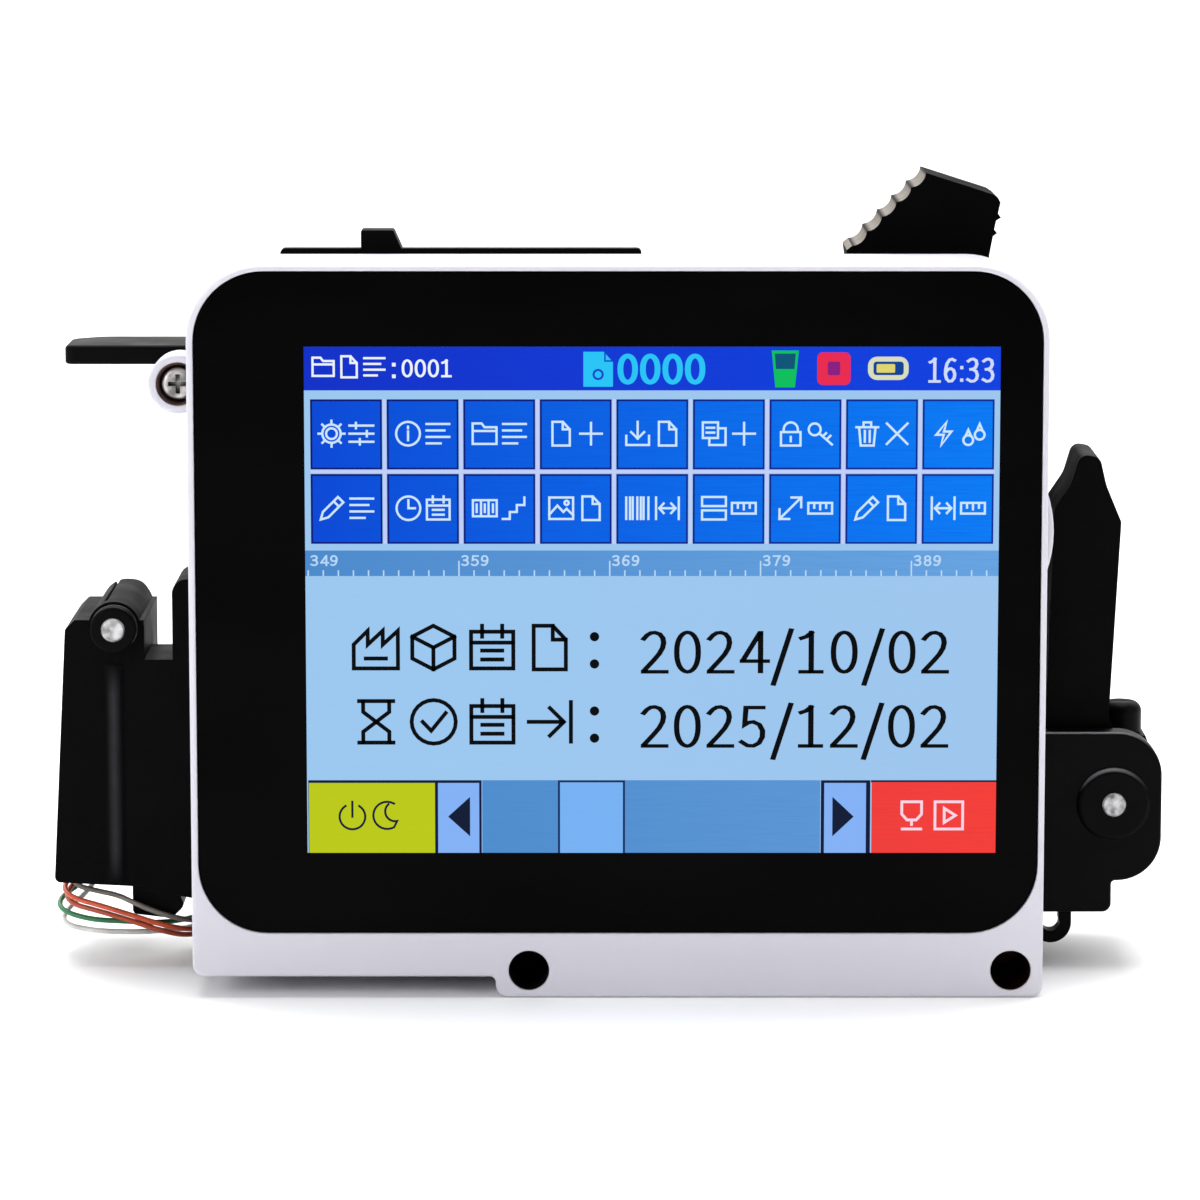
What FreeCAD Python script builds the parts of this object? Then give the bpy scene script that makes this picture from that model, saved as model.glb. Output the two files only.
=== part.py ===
import FreeCAD, Part
import math
import os

os.makedirs("parts", exist_ok=True)

# Date code inkjet printer: a touch screen unit on the front of a box that holds the ink
# cartridge and the battery, with a sprung measuring arm on its left and a lever on its right.
# Millimetres. +X right, +Y from the screen to the back, +Z up.
# Every depth below is measured from the screen's front face; save() moves the origin to
# the middle of the base plate's underside.

V = FreeCAD.Vector

ORIGIN_DEPTH = 60.0

# Screen casing
CASE_HALF = 70.0
CASE_TOP = 121.0
CASE_CORNER = 12.5
STEP_X = -20.1
STEP_Z = 3.5
BEZEL_DEPTH = 9.0
CASE_DEPTH = 22.0
CASE_WALL = 2.2
SOCKET_X = (-14.6, 64.7)
SOCKET_Z = 4.6
SOCKET_R = 3.35
SOCKET_END = 20.0
GLASS_X = (-68.8, 68.9)
GLASS_Z = (10.9, 119.9)
GLASS_CORNER = 11.4
GLASS_Y = (0.35, 1.45)
EAR = (-72.1, 100.6)
EAR_R = 4.9
BUMP_Z = (67.6, 84.4)
BUMP_RISE = 1.8
CASE_SCREWS = ((-63.4, 113.2), (0.0, 115.4), (63.4, 113.2), (-63.6, 62.0), (-63.4, 13.5))

# Engine box behind the casing
BOX_Y = (22.3, 93.8)
BOX_LEFT = -59.5
BOX_STEP_X = -42.0
BOX_STEP_Z = 38.0
BOX_RIGHT = 68.0
BOX_TOP = 110.0
BOX_WALL = 2.2
PLATE_T = 2.4
COVER_Y = (93.8, 97.0)
BASE_SCREWS = ((-35.5, 30.5), (-35.5, 87.0), (30.0, 30.5), (30.0, 87.0))
COVER_SCREWS = ((-54.0, 104.5), (-36.5, 14.5), (31.0, 104.5), (31.0, 14.5))

# Battery
BATTERY_X = (-56.0, 4.0)
BATTERY_Y = (25.0, 47.8)
BATTERY_Z = (40.8, 112.8)
CELL_R = 9.1
CELL_PITCH = 18.7
BATTERY_CONTACT_X = (-44.0, -8.0)

# Ink cartridge
INK_X = (39.3, 63.3)
INK_Y = (32.0, 88.0)
INK_Z = (10.2, 90.0)
SNOUT_X = (44.8, 57.8)
SNOUT_Y = (40.0, 60.0)

# Cartridge latch, drawn as it stands 17.8 degrees open
LATCH_PIVOT = (64.5, 112.6)
LATCH_Y = (30.0, 46.4)
LATCH_PIN_R = 1.25

# Print trigger
TRIGGER_PIVOT = (-63.6, 103.7)
TRIGGER_PIN_R = 1.0

# Measuring arm and wheel
ARM_PIVOT = (-84.2, 58.2)
ARM_SHAFT_R = 2.0
ARM_Y = (22.7, 50.0)
POST_Y = (22.7, 39.6)
WHEEL = (-58.0, 11.4)
WHEEL_R = 11.1
WHEEL_Y = (27.3, 35.3)
AXLE_R = 1.5

# Lever
LEVER_PIVOT = (83.5, 28.2)
LEVER_SHAFT_R = 2.0
LEVER_Y = (27.6, 44.6)
BRACKET_Y = (23.0, 52.0)
KNOB = (86.9, 48.5)

RUNNING = 0.05
M3_R = 1.5


# --- drawing helpers ---------------------------------------------------------------

def place(axis, u, v, along):
    """Point from two profile coordinates and a distance along the extrusion axis."""
    if axis == "x":
        return V(along, u, v)
    if axis == "y":
        return V(u, along, v)
    return V(u, v, along)


def direction(axis):
    return place(axis, 0.0, 0.0, 1.0)


def profile_wire(axis, corners, along):
    """Closed outline whose corners are (u, v) or (u, v, radius)."""
    points = [(place(axis, c[0], c[1], along), c[2] if len(c) > 2 else 0.0) for c in corners]
    count = len(points)
    pieces = []
    for i in range(count):
        corner, radius = points[i]
        if radius == 0.0:
            pieces.append((corner, None, corner))
            continue
        back = points[i - 1][0] - corner
        ahead = points[(i + 1) % count][0] - corner
        back.normalize()
        ahead.normalize()
        half = back.getAngle(ahead) / 2
        middle = back + ahead
        middle.normalize()
        start = corner + back * (radius / math.tan(half))
        end = corner + ahead * (radius / math.tan(half))
        top = corner + middle * (radius / math.sin(half) - radius)
        pieces.append((start, Part.Arc(start, top, end).toShape(), end))
    edges = []
    for i in range(count):
        previous_end = pieces[i - 1][2]
        start, arc, _ = pieces[i]
        if previous_end.distanceToPoint(start) > 1e-6:
            edges.append(Part.LineSegment(previous_end, start).toShape())
        if arc:
            edges.append(arc)
    return Part.Wire(edges)


def prism(axis, corners, low, high):
    face = Part.Face(profile_wire(axis, corners, low))
    return face.extrude(direction(axis) * (high - low))


def box(x0, x1, y0, y1, z0, z1):
    return Part.makeBox(x1 - x0, y1 - y0, z1 - z0, V(x0, y0, z0))


def rod(axis, u, v, radius, low, high):
    return Part.makeCylinder(radius, high - low, place(axis, u, v, low), direction(axis))


def ring(axis, u, v, outer, inner, low, high):
    return rod(axis, u, v, outer, low, high).cut(rod(axis, u, v, inner, low - 1, high + 1))


def fused(shapes):
    return shapes[0].multiFuse(shapes[1:]).removeSplitter()


def cut(shape, tools):
    return shape.cut(Part.makeCompound(tools))


def bevel(shape, size, choose):
    """Chamfer the edges for which choose(edge) is true."""
    edges = [e for e in shape.Edges if choose(e)]
    return shape.makeChamfer(size, edges)


def soften(shape, radius, choose):
    """Round the edges for which choose(edge) is true."""
    edges = [e for e in shape.Edges if choose(e)]
    return shape.makeFillet(radius, edges)


def lies_at_y(depth):
    def choose(edge):
        bounds = edge.BoundBox
        return abs(bounds.YMin - depth) < 1e-4 and abs(bounds.YMax - depth) < 1e-4
    return choose


def lies_at_z(height):
    def choose(edge):
        bounds = edge.BoundBox
        return abs(bounds.ZMin - height) < 1e-4 and abs(bounds.ZMax - height) < 1e-4
    return choose


def lies_at_x(across):
    def choose(edge):
        bounds = edge.BoundBox
        return abs(bounds.XMin - across) < 1e-4 and abs(bounds.XMax - across) < 1e-4
    return choose


def pan_screw(axis, u, v, head_low, way, shank, radius=M3_R, head=2.75, height=1.9):
    """Cross-recessed pan head at head_low; way is the direction from the head to the tip."""
    head_face = head_low
    neck = head_low + way * height
    tip = neck + way * shank
    low, high = min(head_face, neck), max(head_face, neck)
    body = rod(axis, u, v, head, low, high)
    outer_edge = [e for e in body.Edges if abs(position(axis, e) - head_face) < 1e-4]
    body = body.makeFillet(height * 0.45, outer_edge)
    body = body.fuse(rod(axis, u, v, radius, min(neck, tip), max(neck, tip)))
    deep = head_face + way * height * 0.6
    low, high = min(head_face - way, deep), max(head_face - way, deep)
    arm, thin = head * 0.58, head * 0.13
    slots = [prism(axis, rectangle(u - arm, u + arm, v - thin, v + thin), low, high),
             prism(axis, rectangle(u - thin, u + thin, v - arm, v + arm), low, high)]
    return cut(body, slots).removeSplitter()


def position(axis, edge):
    centre = edge.CenterOfMass
    return {"x": centre.x, "y": centre.y, "z": centre.z}[axis]


def rectangle(u0, u1, v0, v1, radius=0.0):
    return [(u0, v0, radius), (u1, v0, radius), (u1, v1, radius), (u0, v1, radius)]


def close_coil(axis, u, v, mean, wire, low, turns):
    """Closely wound spring: a tube whose outside shows one rounded ridge for each turn."""
    pitch = 2 * wire
    inner = mean - wire * 0.8
    edges = []
    for i in range(turns):
        start = V(mean, 0, i * pitch)
        top = V(mean + wire, 0, (i + 0.5) * pitch)
        end = V(mean, 0, (i + 1) * pitch)
        edges.append(Part.Arc(start, top, end).toShape())
    height = turns * pitch
    edges.append(Part.LineSegment(V(mean, 0, height), V(inner, 0, height)).toShape())
    edges.append(Part.LineSegment(V(inner, 0, height), V(inner, 0, 0)).toShape())
    edges.append(Part.LineSegment(V(inner, 0, 0), V(mean, 0, 0)).toShape())
    coil = Part.Face(Part.Wire(edges)).revolve(V(0, 0, 0), V(0, 0, 1), 360)
    turn = FreeCAD.Rotation(V(0, 0, 1), direction(axis))
    coil.Placement = FreeCAD.Placement(place(axis, u, v, low), turn)
    return coil


def save(name, shapes):
    shape = shapes if isinstance(shapes, Part.Shape) else Part.makeCompound(shapes)
    shape = shape.copy()
    shape.translate(V(0, -ORIGIN_DEPTH, 0))
    if not shape.isValid():
        print("not valid:", name)
    shape.exportStep("parts/" + name + ".step")


# --- screen casing -----------------------------------------------------------------

def case_outline(inset=0.0):
    i = inset
    return [(-CASE_HALF + i, CASE_TOP - i, CASE_CORNER - i),
            (CASE_HALF - i, CASE_TOP - i, CASE_CORNER - i),
            (CASE_HALF - i, i, max(2.0 - i, 0.3)),
            (STEP_X + i, i, max(2.2 - i, 0.3)),
            (STEP_X + i, STEP_Z + i, 1.0 + i * 0.2),
            (-CASE_HALF + i, STEP_Z + i, max(2.0 - i, 0.3))]


def case_hollow(low, high):
    """Inside of the casing above the chin, and the two pockets in the chin."""
    w = CASE_WALL
    main = [(-CASE_HALF + w, CASE_TOP - w, CASE_CORNER - w),
            (CASE_HALF - w, CASE_TOP - w, CASE_CORNER - w),
            (CASE_HALF - w, 12.2, 1.5),
            (-CASE_HALF + w, 12.2, 1.5)]
    left = rectangle(-67.6, -24.0, 5.8, 10.6, 1.0)
    middle = rectangle(-8.6, 58.7, 2.2, 10.6, 1.0)
    return [prism("y", c, low, high) for c in (main, left, middle)]


def sockets():
    return [rod("y", x, SOCKET_Z, SOCKET_R, -1.0, SOCKET_END) for x in SOCKET_X]


def front_bezel():
    body = prism("y", case_outline(), 0.0, BEZEL_DEPTH)
    body = soften(body, 0.7, lies_at_y(0.0))
    gap = 0.1
    pocket = rectangle(GLASS_X[0] - gap, GLASS_X[1] + gap, GLASS_Z[0] - gap, GLASS_Z[1] + gap,
                       GLASS_CORNER + gap)
    window = rectangle(-56.0, 66.6, 19.4, 111.4, 2.0)
    seam = prism("y", case_outline(-1.0), BEZEL_DEPTH - 0.3, BEZEL_DEPTH)
    seam = seam.cut(prism("y", case_outline(0.35), BEZEL_DEPTH - 1, BEZEL_DEPTH + 1))
    tools = [prism("y", pocket, -1.0, GLASS_Y[1]), prism("y", window, 0.0, 4.0), seam]
    tools += case_hollow(3.2, BEZEL_DEPTH + 1)
    body = cut(body, tools)
    posts = [ring("y", x, z, 2.7, 1.3, 3.2, BEZEL_DEPTH) for x, z in CASE_SCREWS]
    return cut(fused([body] + posts), sockets())


def touch_glass():
    outline = rectangle(GLASS_X[0], GLASS_X[1], GLASS_Z[0], GLASS_Z[1], GLASS_CORNER)
    return bevel(prism("y", outline, *GLASS_Y), 0.2, lies_at_y(GLASS_Y[0]))


def lcd_panel():
    body = prism("y", rectangle(-55.0, 65.6, 20.4, 110.4, 0.8), GLASS_Y[1], 5.2)
    return body


def main_board():
    board = prism("y", rectangle(-58.0, 62.0, 20.0, 108.0, 1.5), 6.6, 8.2)
    holes = [rod("y", x, z, 1.6, 6.0, 9.0) for x in (-54.5, 58.5) for z in (23.5, 104.5)]
    blocks = [(-30.0, -14.0, 56.0, 72.0, 9.8), (2.0, 14.0, 60.0, 70.0, 9.6),
              (24.0, 46.0, 84.0, 90.0, 12.0), (-46.0, -36.0, 34.0, 46.0, 13.5),
              (20.0, 30.0, 34.0, 44.0, 12.6), (38.0, 50.0, 30.0, 38.0, 10.6)]
    parts = [box(x0, x1, 8.2, top, z0, z1) for x0, x1, z0, z1, top in blocks]
    return [cut(board, holes)] + parts


def rear_shell():
    body = prism("y", case_outline(), BEZEL_DEPTH, CASE_DEPTH)
    body = soften(body, 1.0, lies_at_y(CASE_DEPTH))
    body = cut(body, case_hollow(BEZEL_DEPTH - 1, CASE_DEPTH - 2.2))
    posts = [rod("y", x, z, 4.0, BEZEL_DEPTH, CASE_DEPTH - 1) for x, z in CASE_SCREWS]
    ear = rod("y", EAR[0], EAR[1], EAR_R, 9.6, 17.0)
    ear = soften(ear, 0.5, lies_at_y(9.6))
    web = box(-72.1, -68.5, 11.0, 17.0, EAR[1] - EAR_R + 0.3, EAR[1] + EAR_R - 0.3)
    half = (BUMP_Z[1] - BUMP_Z[0]) / 2
    bump_r = (half * half + BUMP_RISE * BUMP_RISE) / (2 * BUMP_RISE)
    bump = rod("y", CASE_HALF + BUMP_RISE - bump_r, sum(BUMP_Z) / 2, bump_r, 10.0, 20.0)
    bump = soften(bump, 0.6, lies_at_y(10.0)).common(box(68.5, 75.0, 9.0, 21.0, 60.0, 92.0))
    body = fused([body, ear, web, bump] + posts)
    tools = sockets()
    for x, z in CASE_SCREWS:
        tools.append(rod("y", x, z, M3_R + 0.1, 8.0, 23.0))
        tools.append(rod("y", x, z, 2.95, 19.6, 23.0))
    tools.append(rod("y", EAR[0], EAR[1], 3.6, 9.0, 12.2))
    tools.append(rod("y", EAR[0], EAR[1], M3_R + 0.1, 9.0, 18.0))
    tools.append(box(-20.0, 20.0, 19.0, 23.0, 60.0, 76.0))
    return cut(body, tools)


def casing_screws():
    rear = [pan_screw("y", x, z, 21.7, -1, 14.0, radius=1.25) for x, z in CASE_SCREWS]
    return rear + [pan_screw("y", EAR[0], EAR[1], 10.1, 1, 9.0)]


# --- engine box --------------------------------------------------------------------

def box_outline(inset=0.0):
    i = inset
    return [(BOX_LEFT + i, BOX_TOP - i, max(3.0 - i, 0.8)),
            (BOX_RIGHT - i, BOX_TOP - i, max(3.0 - i, 0.8)),
            (BOX_RIGHT - i, PLATE_T + i, max(2.0 - i, 0.5)),
            (BOX_STEP_X + i, PLATE_T + i, max(2.0 - i, 0.5)),
            (BOX_STEP_X + i, BOX_STEP_Z + i, 1.5 + i * 0.2),
            (BOX_LEFT + i, BOX_STEP_Z + i, max(3.0 - i, 0.8))]


def pivot_lug(pivot, radius, low, high, foot):
    """Ear that holds a hinge pin: a round eye on a foot given as x0, x1, z0, z1."""
    eye = rod("y", pivot[0], pivot[1], radius, low, high)
    return eye.fuse(box(foot[0], foot[1], low, high, foot[2], foot[3]))


def battery_bay_walls():
    return [box(5.2, 7.2, 24.0, 50.2, 38.0, BOX_TOP - 1),
            box(BOX_LEFT + 1, 7.2, 48.2, 50.2, 38.0, BOX_TOP - 1),
            box(BOX_LEFT + 1, 7.2, 24.0, 50.2, 38.0, 40.2)]


def grip_grooves():
    grooves = []
    for i in range(7):
        z = 46.0 + i * 6.0
        for low in (BOX_LEFT - 1.0, BOX_RIGHT - 0.7):
            outline = rectangle(62.0, 88.0, z - 1.0, z + 1.0, 0.95)
            grooves.append(prism("x", outline, low, low + 1.7))
    return grooves


def engine_frame():
    body = prism("y", box_outline(), *BOX_Y)
    body = body.cut(prism("y", box_outline(BOX_WALL), BOX_Y[0] + BOX_WALL, BOX_Y[1] + 1))
    latch_foot = (61.9, 67.6, BOX_TOP - 1, LATCH_PIVOT[1])
    trigger_foot = (TRIGGER_PIVOT[0], BOX_LEFT + 1, 101.0, 106.4)
    extras = battery_bay_walls()
    extras.append(pivot_lug(LATCH_PIVOT, 2.8, 26.4, 29.7, latch_foot))
    extras.append(pivot_lug(LATCH_PIVOT, 2.8, 46.7, 50.0, latch_foot))
    extras.append(pivot_lug(TRIGGER_PIVOT, 2.7, 24.6, 27.7, trigger_foot))
    extras.append(pivot_lug(TRIGGER_PIVOT, 2.7, 36.3, 39.4, trigger_foot))
    extras += [rod("z", x, y, 3.2, PLATE_T + 1, 10.0) for x, y in BASE_SCREWS]
    for x, z in COVER_SCREWS:
        wall = BOX_TOP - 1 if z > BOX_STEP_Z else PLATE_T + 1
        extras.append(rod("y", x, z, 3.2, 78.0, BOX_Y[1]))
        extras.append(box(x - 1.2, x + 1.2, 78.0, 91.5, min(z, wall), max(z, wall)))
    body = fused([body] + extras)
    tools = [box(-57.2, 5.2, 24.6, 48.2, 105.0, 112.0),
             box(37.0, 65.7, 30.2, 90.6, 105.0, 111.0),
             box(43.8, 58.8, 38.8, 61.2, 0.0, 6.0),
             rod("y", LATCH_PIVOT[0], LATCH_PIVOT[1], LATCH_PIN_R + RUNNING, 20.0, 60.0),
             rod("y", TRIGGER_PIVOT[0], TRIGGER_PIVOT[1], TRIGGER_PIN_R + RUNNING, 20.0, 45.0),
             rod("x", 49.0, 7.6, 3.4, -46.0, -38.0),
             box(-20.0, 20.0, 20.0, 25.5, 12.0, 26.0)]
    tools += [rod("z", x, y, 1.25, 0.0, 9.0) for x, y in BASE_SCREWS]
    tools += [rod("x", y, 13.6, M3_R, 60.0, 70.0) for y in (32.0, 44.0)]
    tools += [rod("x", 70.0, z, M3_R, -62.0, -56.0) for z in (53.5, 60.5)]
    tools += [box(x - 1.2, x + 1.2, 34.8, 37.2, 37.0, 41.0) for x in BATTERY_CONTACT_X]
    tools += grip_grooves()
    tools += [rod("y", x, z, 1.25, 80.0, 95.0) for x, z in COVER_SCREWS]
    return cut(body, tools)


def back_cover():
    body = prism("y", box_outline(), *COVER_Y)
    body = soften(body, 1.2, lies_at_y(COVER_Y[1]))
    lip = prism("y", box_outline(BOX_WALL + 0.15), COVER_Y[0] - 1.8, COVER_Y[0])
    lip = lip.cut(prism("y", box_outline(BOX_WALL + 1.6), COVER_Y[0] - 3, COVER_Y[0] + 1))
    for x, z in COVER_SCREWS:
        lip = lip.cut(rod("y", x, z, 3.5, COVER_Y[0] - 3, COVER_Y[0]))
    body = body.fuse(lip)
    tools = []
    for i in range(11):
        x = -24.0 + i * 4.6
        tools.append(prism("y", rectangle(x - 0.9, x + 0.9, 62.0, 92.0, 0.85), 90.0, 99.0))
    for x, z in COVER_SCREWS:
        tools.append(rod("y", x, z, M3_R + 0.1, 90.0, 99.0))
        tools.append(rod("y", x, z, 3.0, COVER_Y[1] - 2.0, 99.0))
    tools.append(prism("y", rectangle(-33.9, -24.6, 23.6, 27.9, 0.5), 90.0, 99.0))
    tools.append(rod("y", -12.0, 26.0, 5.55, 90.0, 99.0))
    tools.append(rod("y", 8.0, 26.0, 4.05, 90.0, 99.0))
    return cut(body, tools)


def cover_screws():
    return [pan_screw("y", x, z, COVER_Y[1] - 0.1, -1, 9.0, radius=1.2) for x, z in COVER_SCREWS]


def base_plate():
    outline = rectangle(BOX_STEP_X, BOX_RIGHT, BOX_Y[0] + 0.3, COVER_Y[1] - 0.4, 3.0)
    body = prism("z", outline, 0.0, PLATE_T)
    body = soften(body, 0.8, lies_at_z(0.0))
    slot = prism("z", rectangle(SNOUT_X[0] - 0.9, SNOUT_X[1] + 0.9, SNOUT_Y[0] - 0.9,
                                SNOUT_Y[1] + 0.9, 1.5), -1.0, 4.0)
    tools = [slot]
    for x, y in BASE_SCREWS:
        tools.append(rod("z", x, y, M3_R + 0.1, -1.0, 4.0))
        tools.append(Part.makeCone(3.1, M3_R + 0.1, 1.6, V(x, y, 0), V(0, 0, 1)))
    return cut(body, tools)


def base_screws():
    screws = []
    for x, y in BASE_SCREWS:
        head = Part.makeCone(2.75, 1.25, 1.5, V(x, y, 0.25), V(0, 0, 1))
        shank = rod("z", x, y, 1.2, 0.6, 8.0)
        slots = [box(x - 1.5, x + 1.5, y - 0.35, y + 0.35, 0.0, 1.0),
                 box(x - 0.35, x + 0.35, y - 1.5, y + 1.5, 0.0, 1.0)]
        screws.append(cut(head.fuse(shank), slots))
    return screws


def driver_board():
    board = prism("y", rectangle(-36.0, 30.0, 34.0, 98.0, 1.0), 60.0, 61.6)
    caps = [rod("y", x, 88.0, 4.0, 61.6, 74.0) for x in (-28.0, -18.0, 16.0)]
    chips = [box(-6.0, 8.0, 61.6, 64.0, 60.0, 74.0), box(-30.0, -14.0, 61.6, 70.0, 42.0, 50.0)]
    return [board] + caps + chips


def usb_port():
    body = prism("y", rectangle(-33.6, -24.9, 23.9, 27.6, 0.4), 84.0, 96.6)
    return body.cut(prism("y", rectangle(-33.0, -25.5, 24.5, 27.0, 0.3), 88.0, 98.0))


def power_jack():
    body = rod("y", -12.0, 26.0, 5.4, 82.0, 96.8)
    return body.cut(ring("y", -12.0, 26.0, 4.0, 1.2, 87.0, 98.0))


def power_button():
    body = rod("y", 8.0, 26.0, 3.8, 88.6, 98.2)
    return soften(body, 0.6, lies_at_y(98.2))


def power_switch_body():
    return fused([rod("y", 8.0, 26.0, 5.6, 82.0, 87.2), box(4.0, 12.0, 78.0, 83.0, 22.0, 30.0)])


# --- battery -----------------------------------------------------------------------

def battery_case():
    x0, x1 = BATTERY_X
    body = prism("z", rectangle(x0, x1, BATTERY_Y[0], BATTERY_Y[1], 1.5), BATTERY_Z[0], 110.6)
    hollow = rectangle(x0 + 1.5, x1 - 1.5, BATTERY_Y[0] + 1.5, BATTERY_Y[1] - 1.5, 1.0)
    body = body.cut(prism("z", hollow, BATTERY_Z[0] + 1.8, 112.0))
    windows = [box(x - 2.5, x + 2.5, 34.0, 38.0, 40.0, 43.0) for x in BATTERY_CONTACT_X]
    return cut(body, windows)


def battery_cap():
    x0, x1 = BATTERY_X
    lid = prism("z", rectangle(x0, x1, BATTERY_Y[0], BATTERY_Y[1], 1.5), 110.6, BATTERY_Z[1])
    lip = prism("y", rectangle(x0, x1, 112.0, 121.6, 0.8), BATTERY_Y[0], BATTERY_Y[0] + 2.4)
    tab = [(-42.6, 120.5), (-42.6, 124.6, 0.3), (-37.2, 124.6, 0.5), (-35.4, 120.5)]
    tab = prism("y", tab, BATTERY_Y[0], BATTERY_Y[0] + 5.0)
    scoop = rod("x", 44.0, 116.6, 5.6, -36.0, -16.0)
    ridges = [box(x - 0.5, x + 0.5, 30.0, 38.0, 112.0, 113.6) for x in range(-12, 0, 2)]
    body = fused([lid, lip, tab] + ridges)
    return body.cut(scoop)


def battery_cells():
    middle = sum(BATTERY_X) / 2
    depth = sum(BATTERY_Y) / 2
    cells = []
    for i in (-1, 0, 1):
        x = middle + i * CELL_PITCH
        cell = rod("z", x, depth, CELL_R, 43.4, 107.6)
        cells.append(cell.fuse(rod("z", x, depth, 2.8, 107.6, 108.9)))
    return cells


def battery_contacts():
    return [fused([box(x - 2.0, x + 2.0, 33.6, 38.4, 40.2, 40.5),
                   box(x - 1.0, x + 1.0, 35.0, 37.0, 36.0, 40.3)]) for x in BATTERY_CONTACT_X]


# --- ink cartridge -----------------------------------------------------------------

def cartridge_holder():
    body = prism("z", rectangle(37.4, 65.5, 29.8, 90.4, 1.0), 8.6, 72.0)
    body = body.cut(box(38.9, 63.8, 31.4, 88.8, 10.2, 73.0))
    tools = [box(43.8, 58.8, 38.8, 61.2, 8.0, 11.0), box(44.0, 58.6, 88.0, 91.0, 28.0, 54.0)]
    feet = [rod("z", x, y, 2.4, 4.6, 8.6) for x in (41.0, 62.0) for y in (34.0, 86.0)]
    return cut(fused([body] + feet), tools)


def ink_cartridge():
    side = [(INK_Y[0], INK_Z[0], 1.0), (INK_Y[1], INK_Z[0], 1.0), (INK_Y[1], INK_Z[1] - 9.0, 2.0),
            (INK_Y[1] - 12.0, INK_Z[1], 3.0), (INK_Y[0], INK_Z[1], 3.0)]
    body = prism("x", side, *INK_X)
    snout = prism("z", rectangle(SNOUT_X[0], SNOUT_X[1], SNOUT_Y[0], SNOUT_Y[1], 1.2), 1.3, 12.0)
    return body.fuse(snout).removeSplitter()


def nozzle_plate():
    body = box(SNOUT_X[0] + 1.5, SNOUT_X[1] - 1.5, SNOUT_Y[0] + 2.0, SNOUT_Y[1] - 2.0, 1.0, 1.3)
    rows = [box(x - 0.15, x + 0.15, SNOUT_Y[0] + 4.0, SNOUT_Y[1] - 4.0, 0.9, 1.1)
            for x in (49.7, 52.9)]
    return cut(body, rows)


def contact_board():
    return box(44.2, 58.4, 88.9, 90.3, 28.2, 53.8)


def contact_pins():
    pins = []
    for i in range(5):
        for j in range(8):
            pins.append(rod("y", 46.1 + i * 2.6, 31.0 + j * 2.9, 0.5, 88.3, 88.9))
    return pins


# --- cartridge latch ---------------------------------------------------------------

def latch_profile():
    """Thumb block: a scalloped slope on the left and two small teeth on the right."""
    low, high = V(39.2, 121.6, 0), V(51.4, 133.8, 0)
    scallops = 5
    step = (high - low) * (1.0 / scallops)
    outward = V(-step.y, step.x, 0)
    outward.normalize()
    ends = [low + step * i for i in range(scallops + 1)]
    edges = []
    for a, b in zip(ends, ends[1:]):
        top = (a + b) * 0.5 - outward * 0.65
        edges.append(Part.Arc(V(a.x, 0, a.y), V(top.x, 0, top.y), V(b.x, 0, b.y)).toShape())
    rest = [(51.4, 133.8), (62.6, 130.2), (63.5, 129.6), (63.9, 128.8), (63.5, 127.0),
            (64.0, 126.3), (63.2, 125.8), (62.9, 124.3), (63.4, 123.7), (62.7, 123.2),
            (62.1, 120.0), (63.0, 113.5), (61.4, 111.4), (38.6, 118.6), (38.3, 120.9),
            (39.2, 121.6)]
    points = [V(x, 0, z) for x, z in rest]
    edges += [Part.LineSegment(a, b).toShape() for a, b in zip(points, points[1:])]
    return Part.Wire(edges)


def cartridge_latch():
    depth = LATCH_Y[1] - LATCH_Y[0]
    body = Part.Face(latch_profile()).extrude(V(0, depth, 0))
    body.translate(V(0, LATCH_Y[0], 0))
    eye = rod("y", LATCH_PIVOT[0], LATCH_PIVOT[1], 2.35, *LATCH_Y)
    foot = box(50.4, 54.8, 35.0, 45.0, 90.4, 113.0)
    foot.rotate(V(LATCH_PIVOT[0], 0, LATCH_PIVOT[1]), V(0, 1, 0), 17.8)
    body = fused([body, eye, foot])
    tools = [rod("y", LATCH_PIVOT[0], LATCH_PIVOT[1], LATCH_PIN_R + RUNNING, 20.0, 60.0),
             rod("y", LATCH_PIVOT[0], LATCH_PIVOT[1], 3.2, 37.0, 43.0)]
    return cut(body, tools)


def latch_pin():
    return rod("y", LATCH_PIVOT[0], LATCH_PIVOT[1], LATCH_PIN_R, 26.0, 50.4)


def latch_spring():
    return close_coil("y", LATCH_PIVOT[0], LATCH_PIVOT[1], 1.95, 0.4, 37.6, 6)


# --- print trigger -----------------------------------------------------------------

def print_trigger():
    plan = [(-92.0, 24.2, 1.4), (-67.4, 24.2, 0.6), (-67.4, 40.0, 0.6), (-87.0, 40.0, 5.0),
            (-92.0, 36.0, 3.5)]
    paddle = prism("z", plan, 102.3, 105.5)
    paddle = soften(paddle, 0.7, lies_at_z(105.5))
    paddle = soften(paddle, 0.5, lies_at_z(102.3))
    neck = box(-68.0, -63.6, 28.1, 33.9, 102.3, 105.1)
    eye = rod("y", TRIGGER_PIVOT[0], TRIGGER_PIVOT[1], 2.2, 28.1, 33.9)
    body = fused([paddle, neck, eye])
    return body.cut(rod("y", TRIGGER_PIVOT[0], TRIGGER_PIVOT[1], TRIGGER_PIN_R + RUNNING, 20, 45))


def trigger_pin():
    return rod("y", TRIGGER_PIVOT[0], TRIGGER_PIVOT[1], TRIGGER_PIN_R, 24.2, 39.8)


def trigger_spring():
    return close_coil("y", TRIGGER_PIVOT[0], TRIGGER_PIVOT[1], 1.5, 0.25, 34.1, 4)


def trigger_switch():
    body = box(-69.6, BOX_LEFT, 27.0, 37.0, 91.0, 98.6)
    plunger = rod("z", -68.2, 32.0, 0.9, 98.0, 101.5)
    return body.fuse(plunger)


# --- measuring arm -----------------------------------------------------------------

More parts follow.
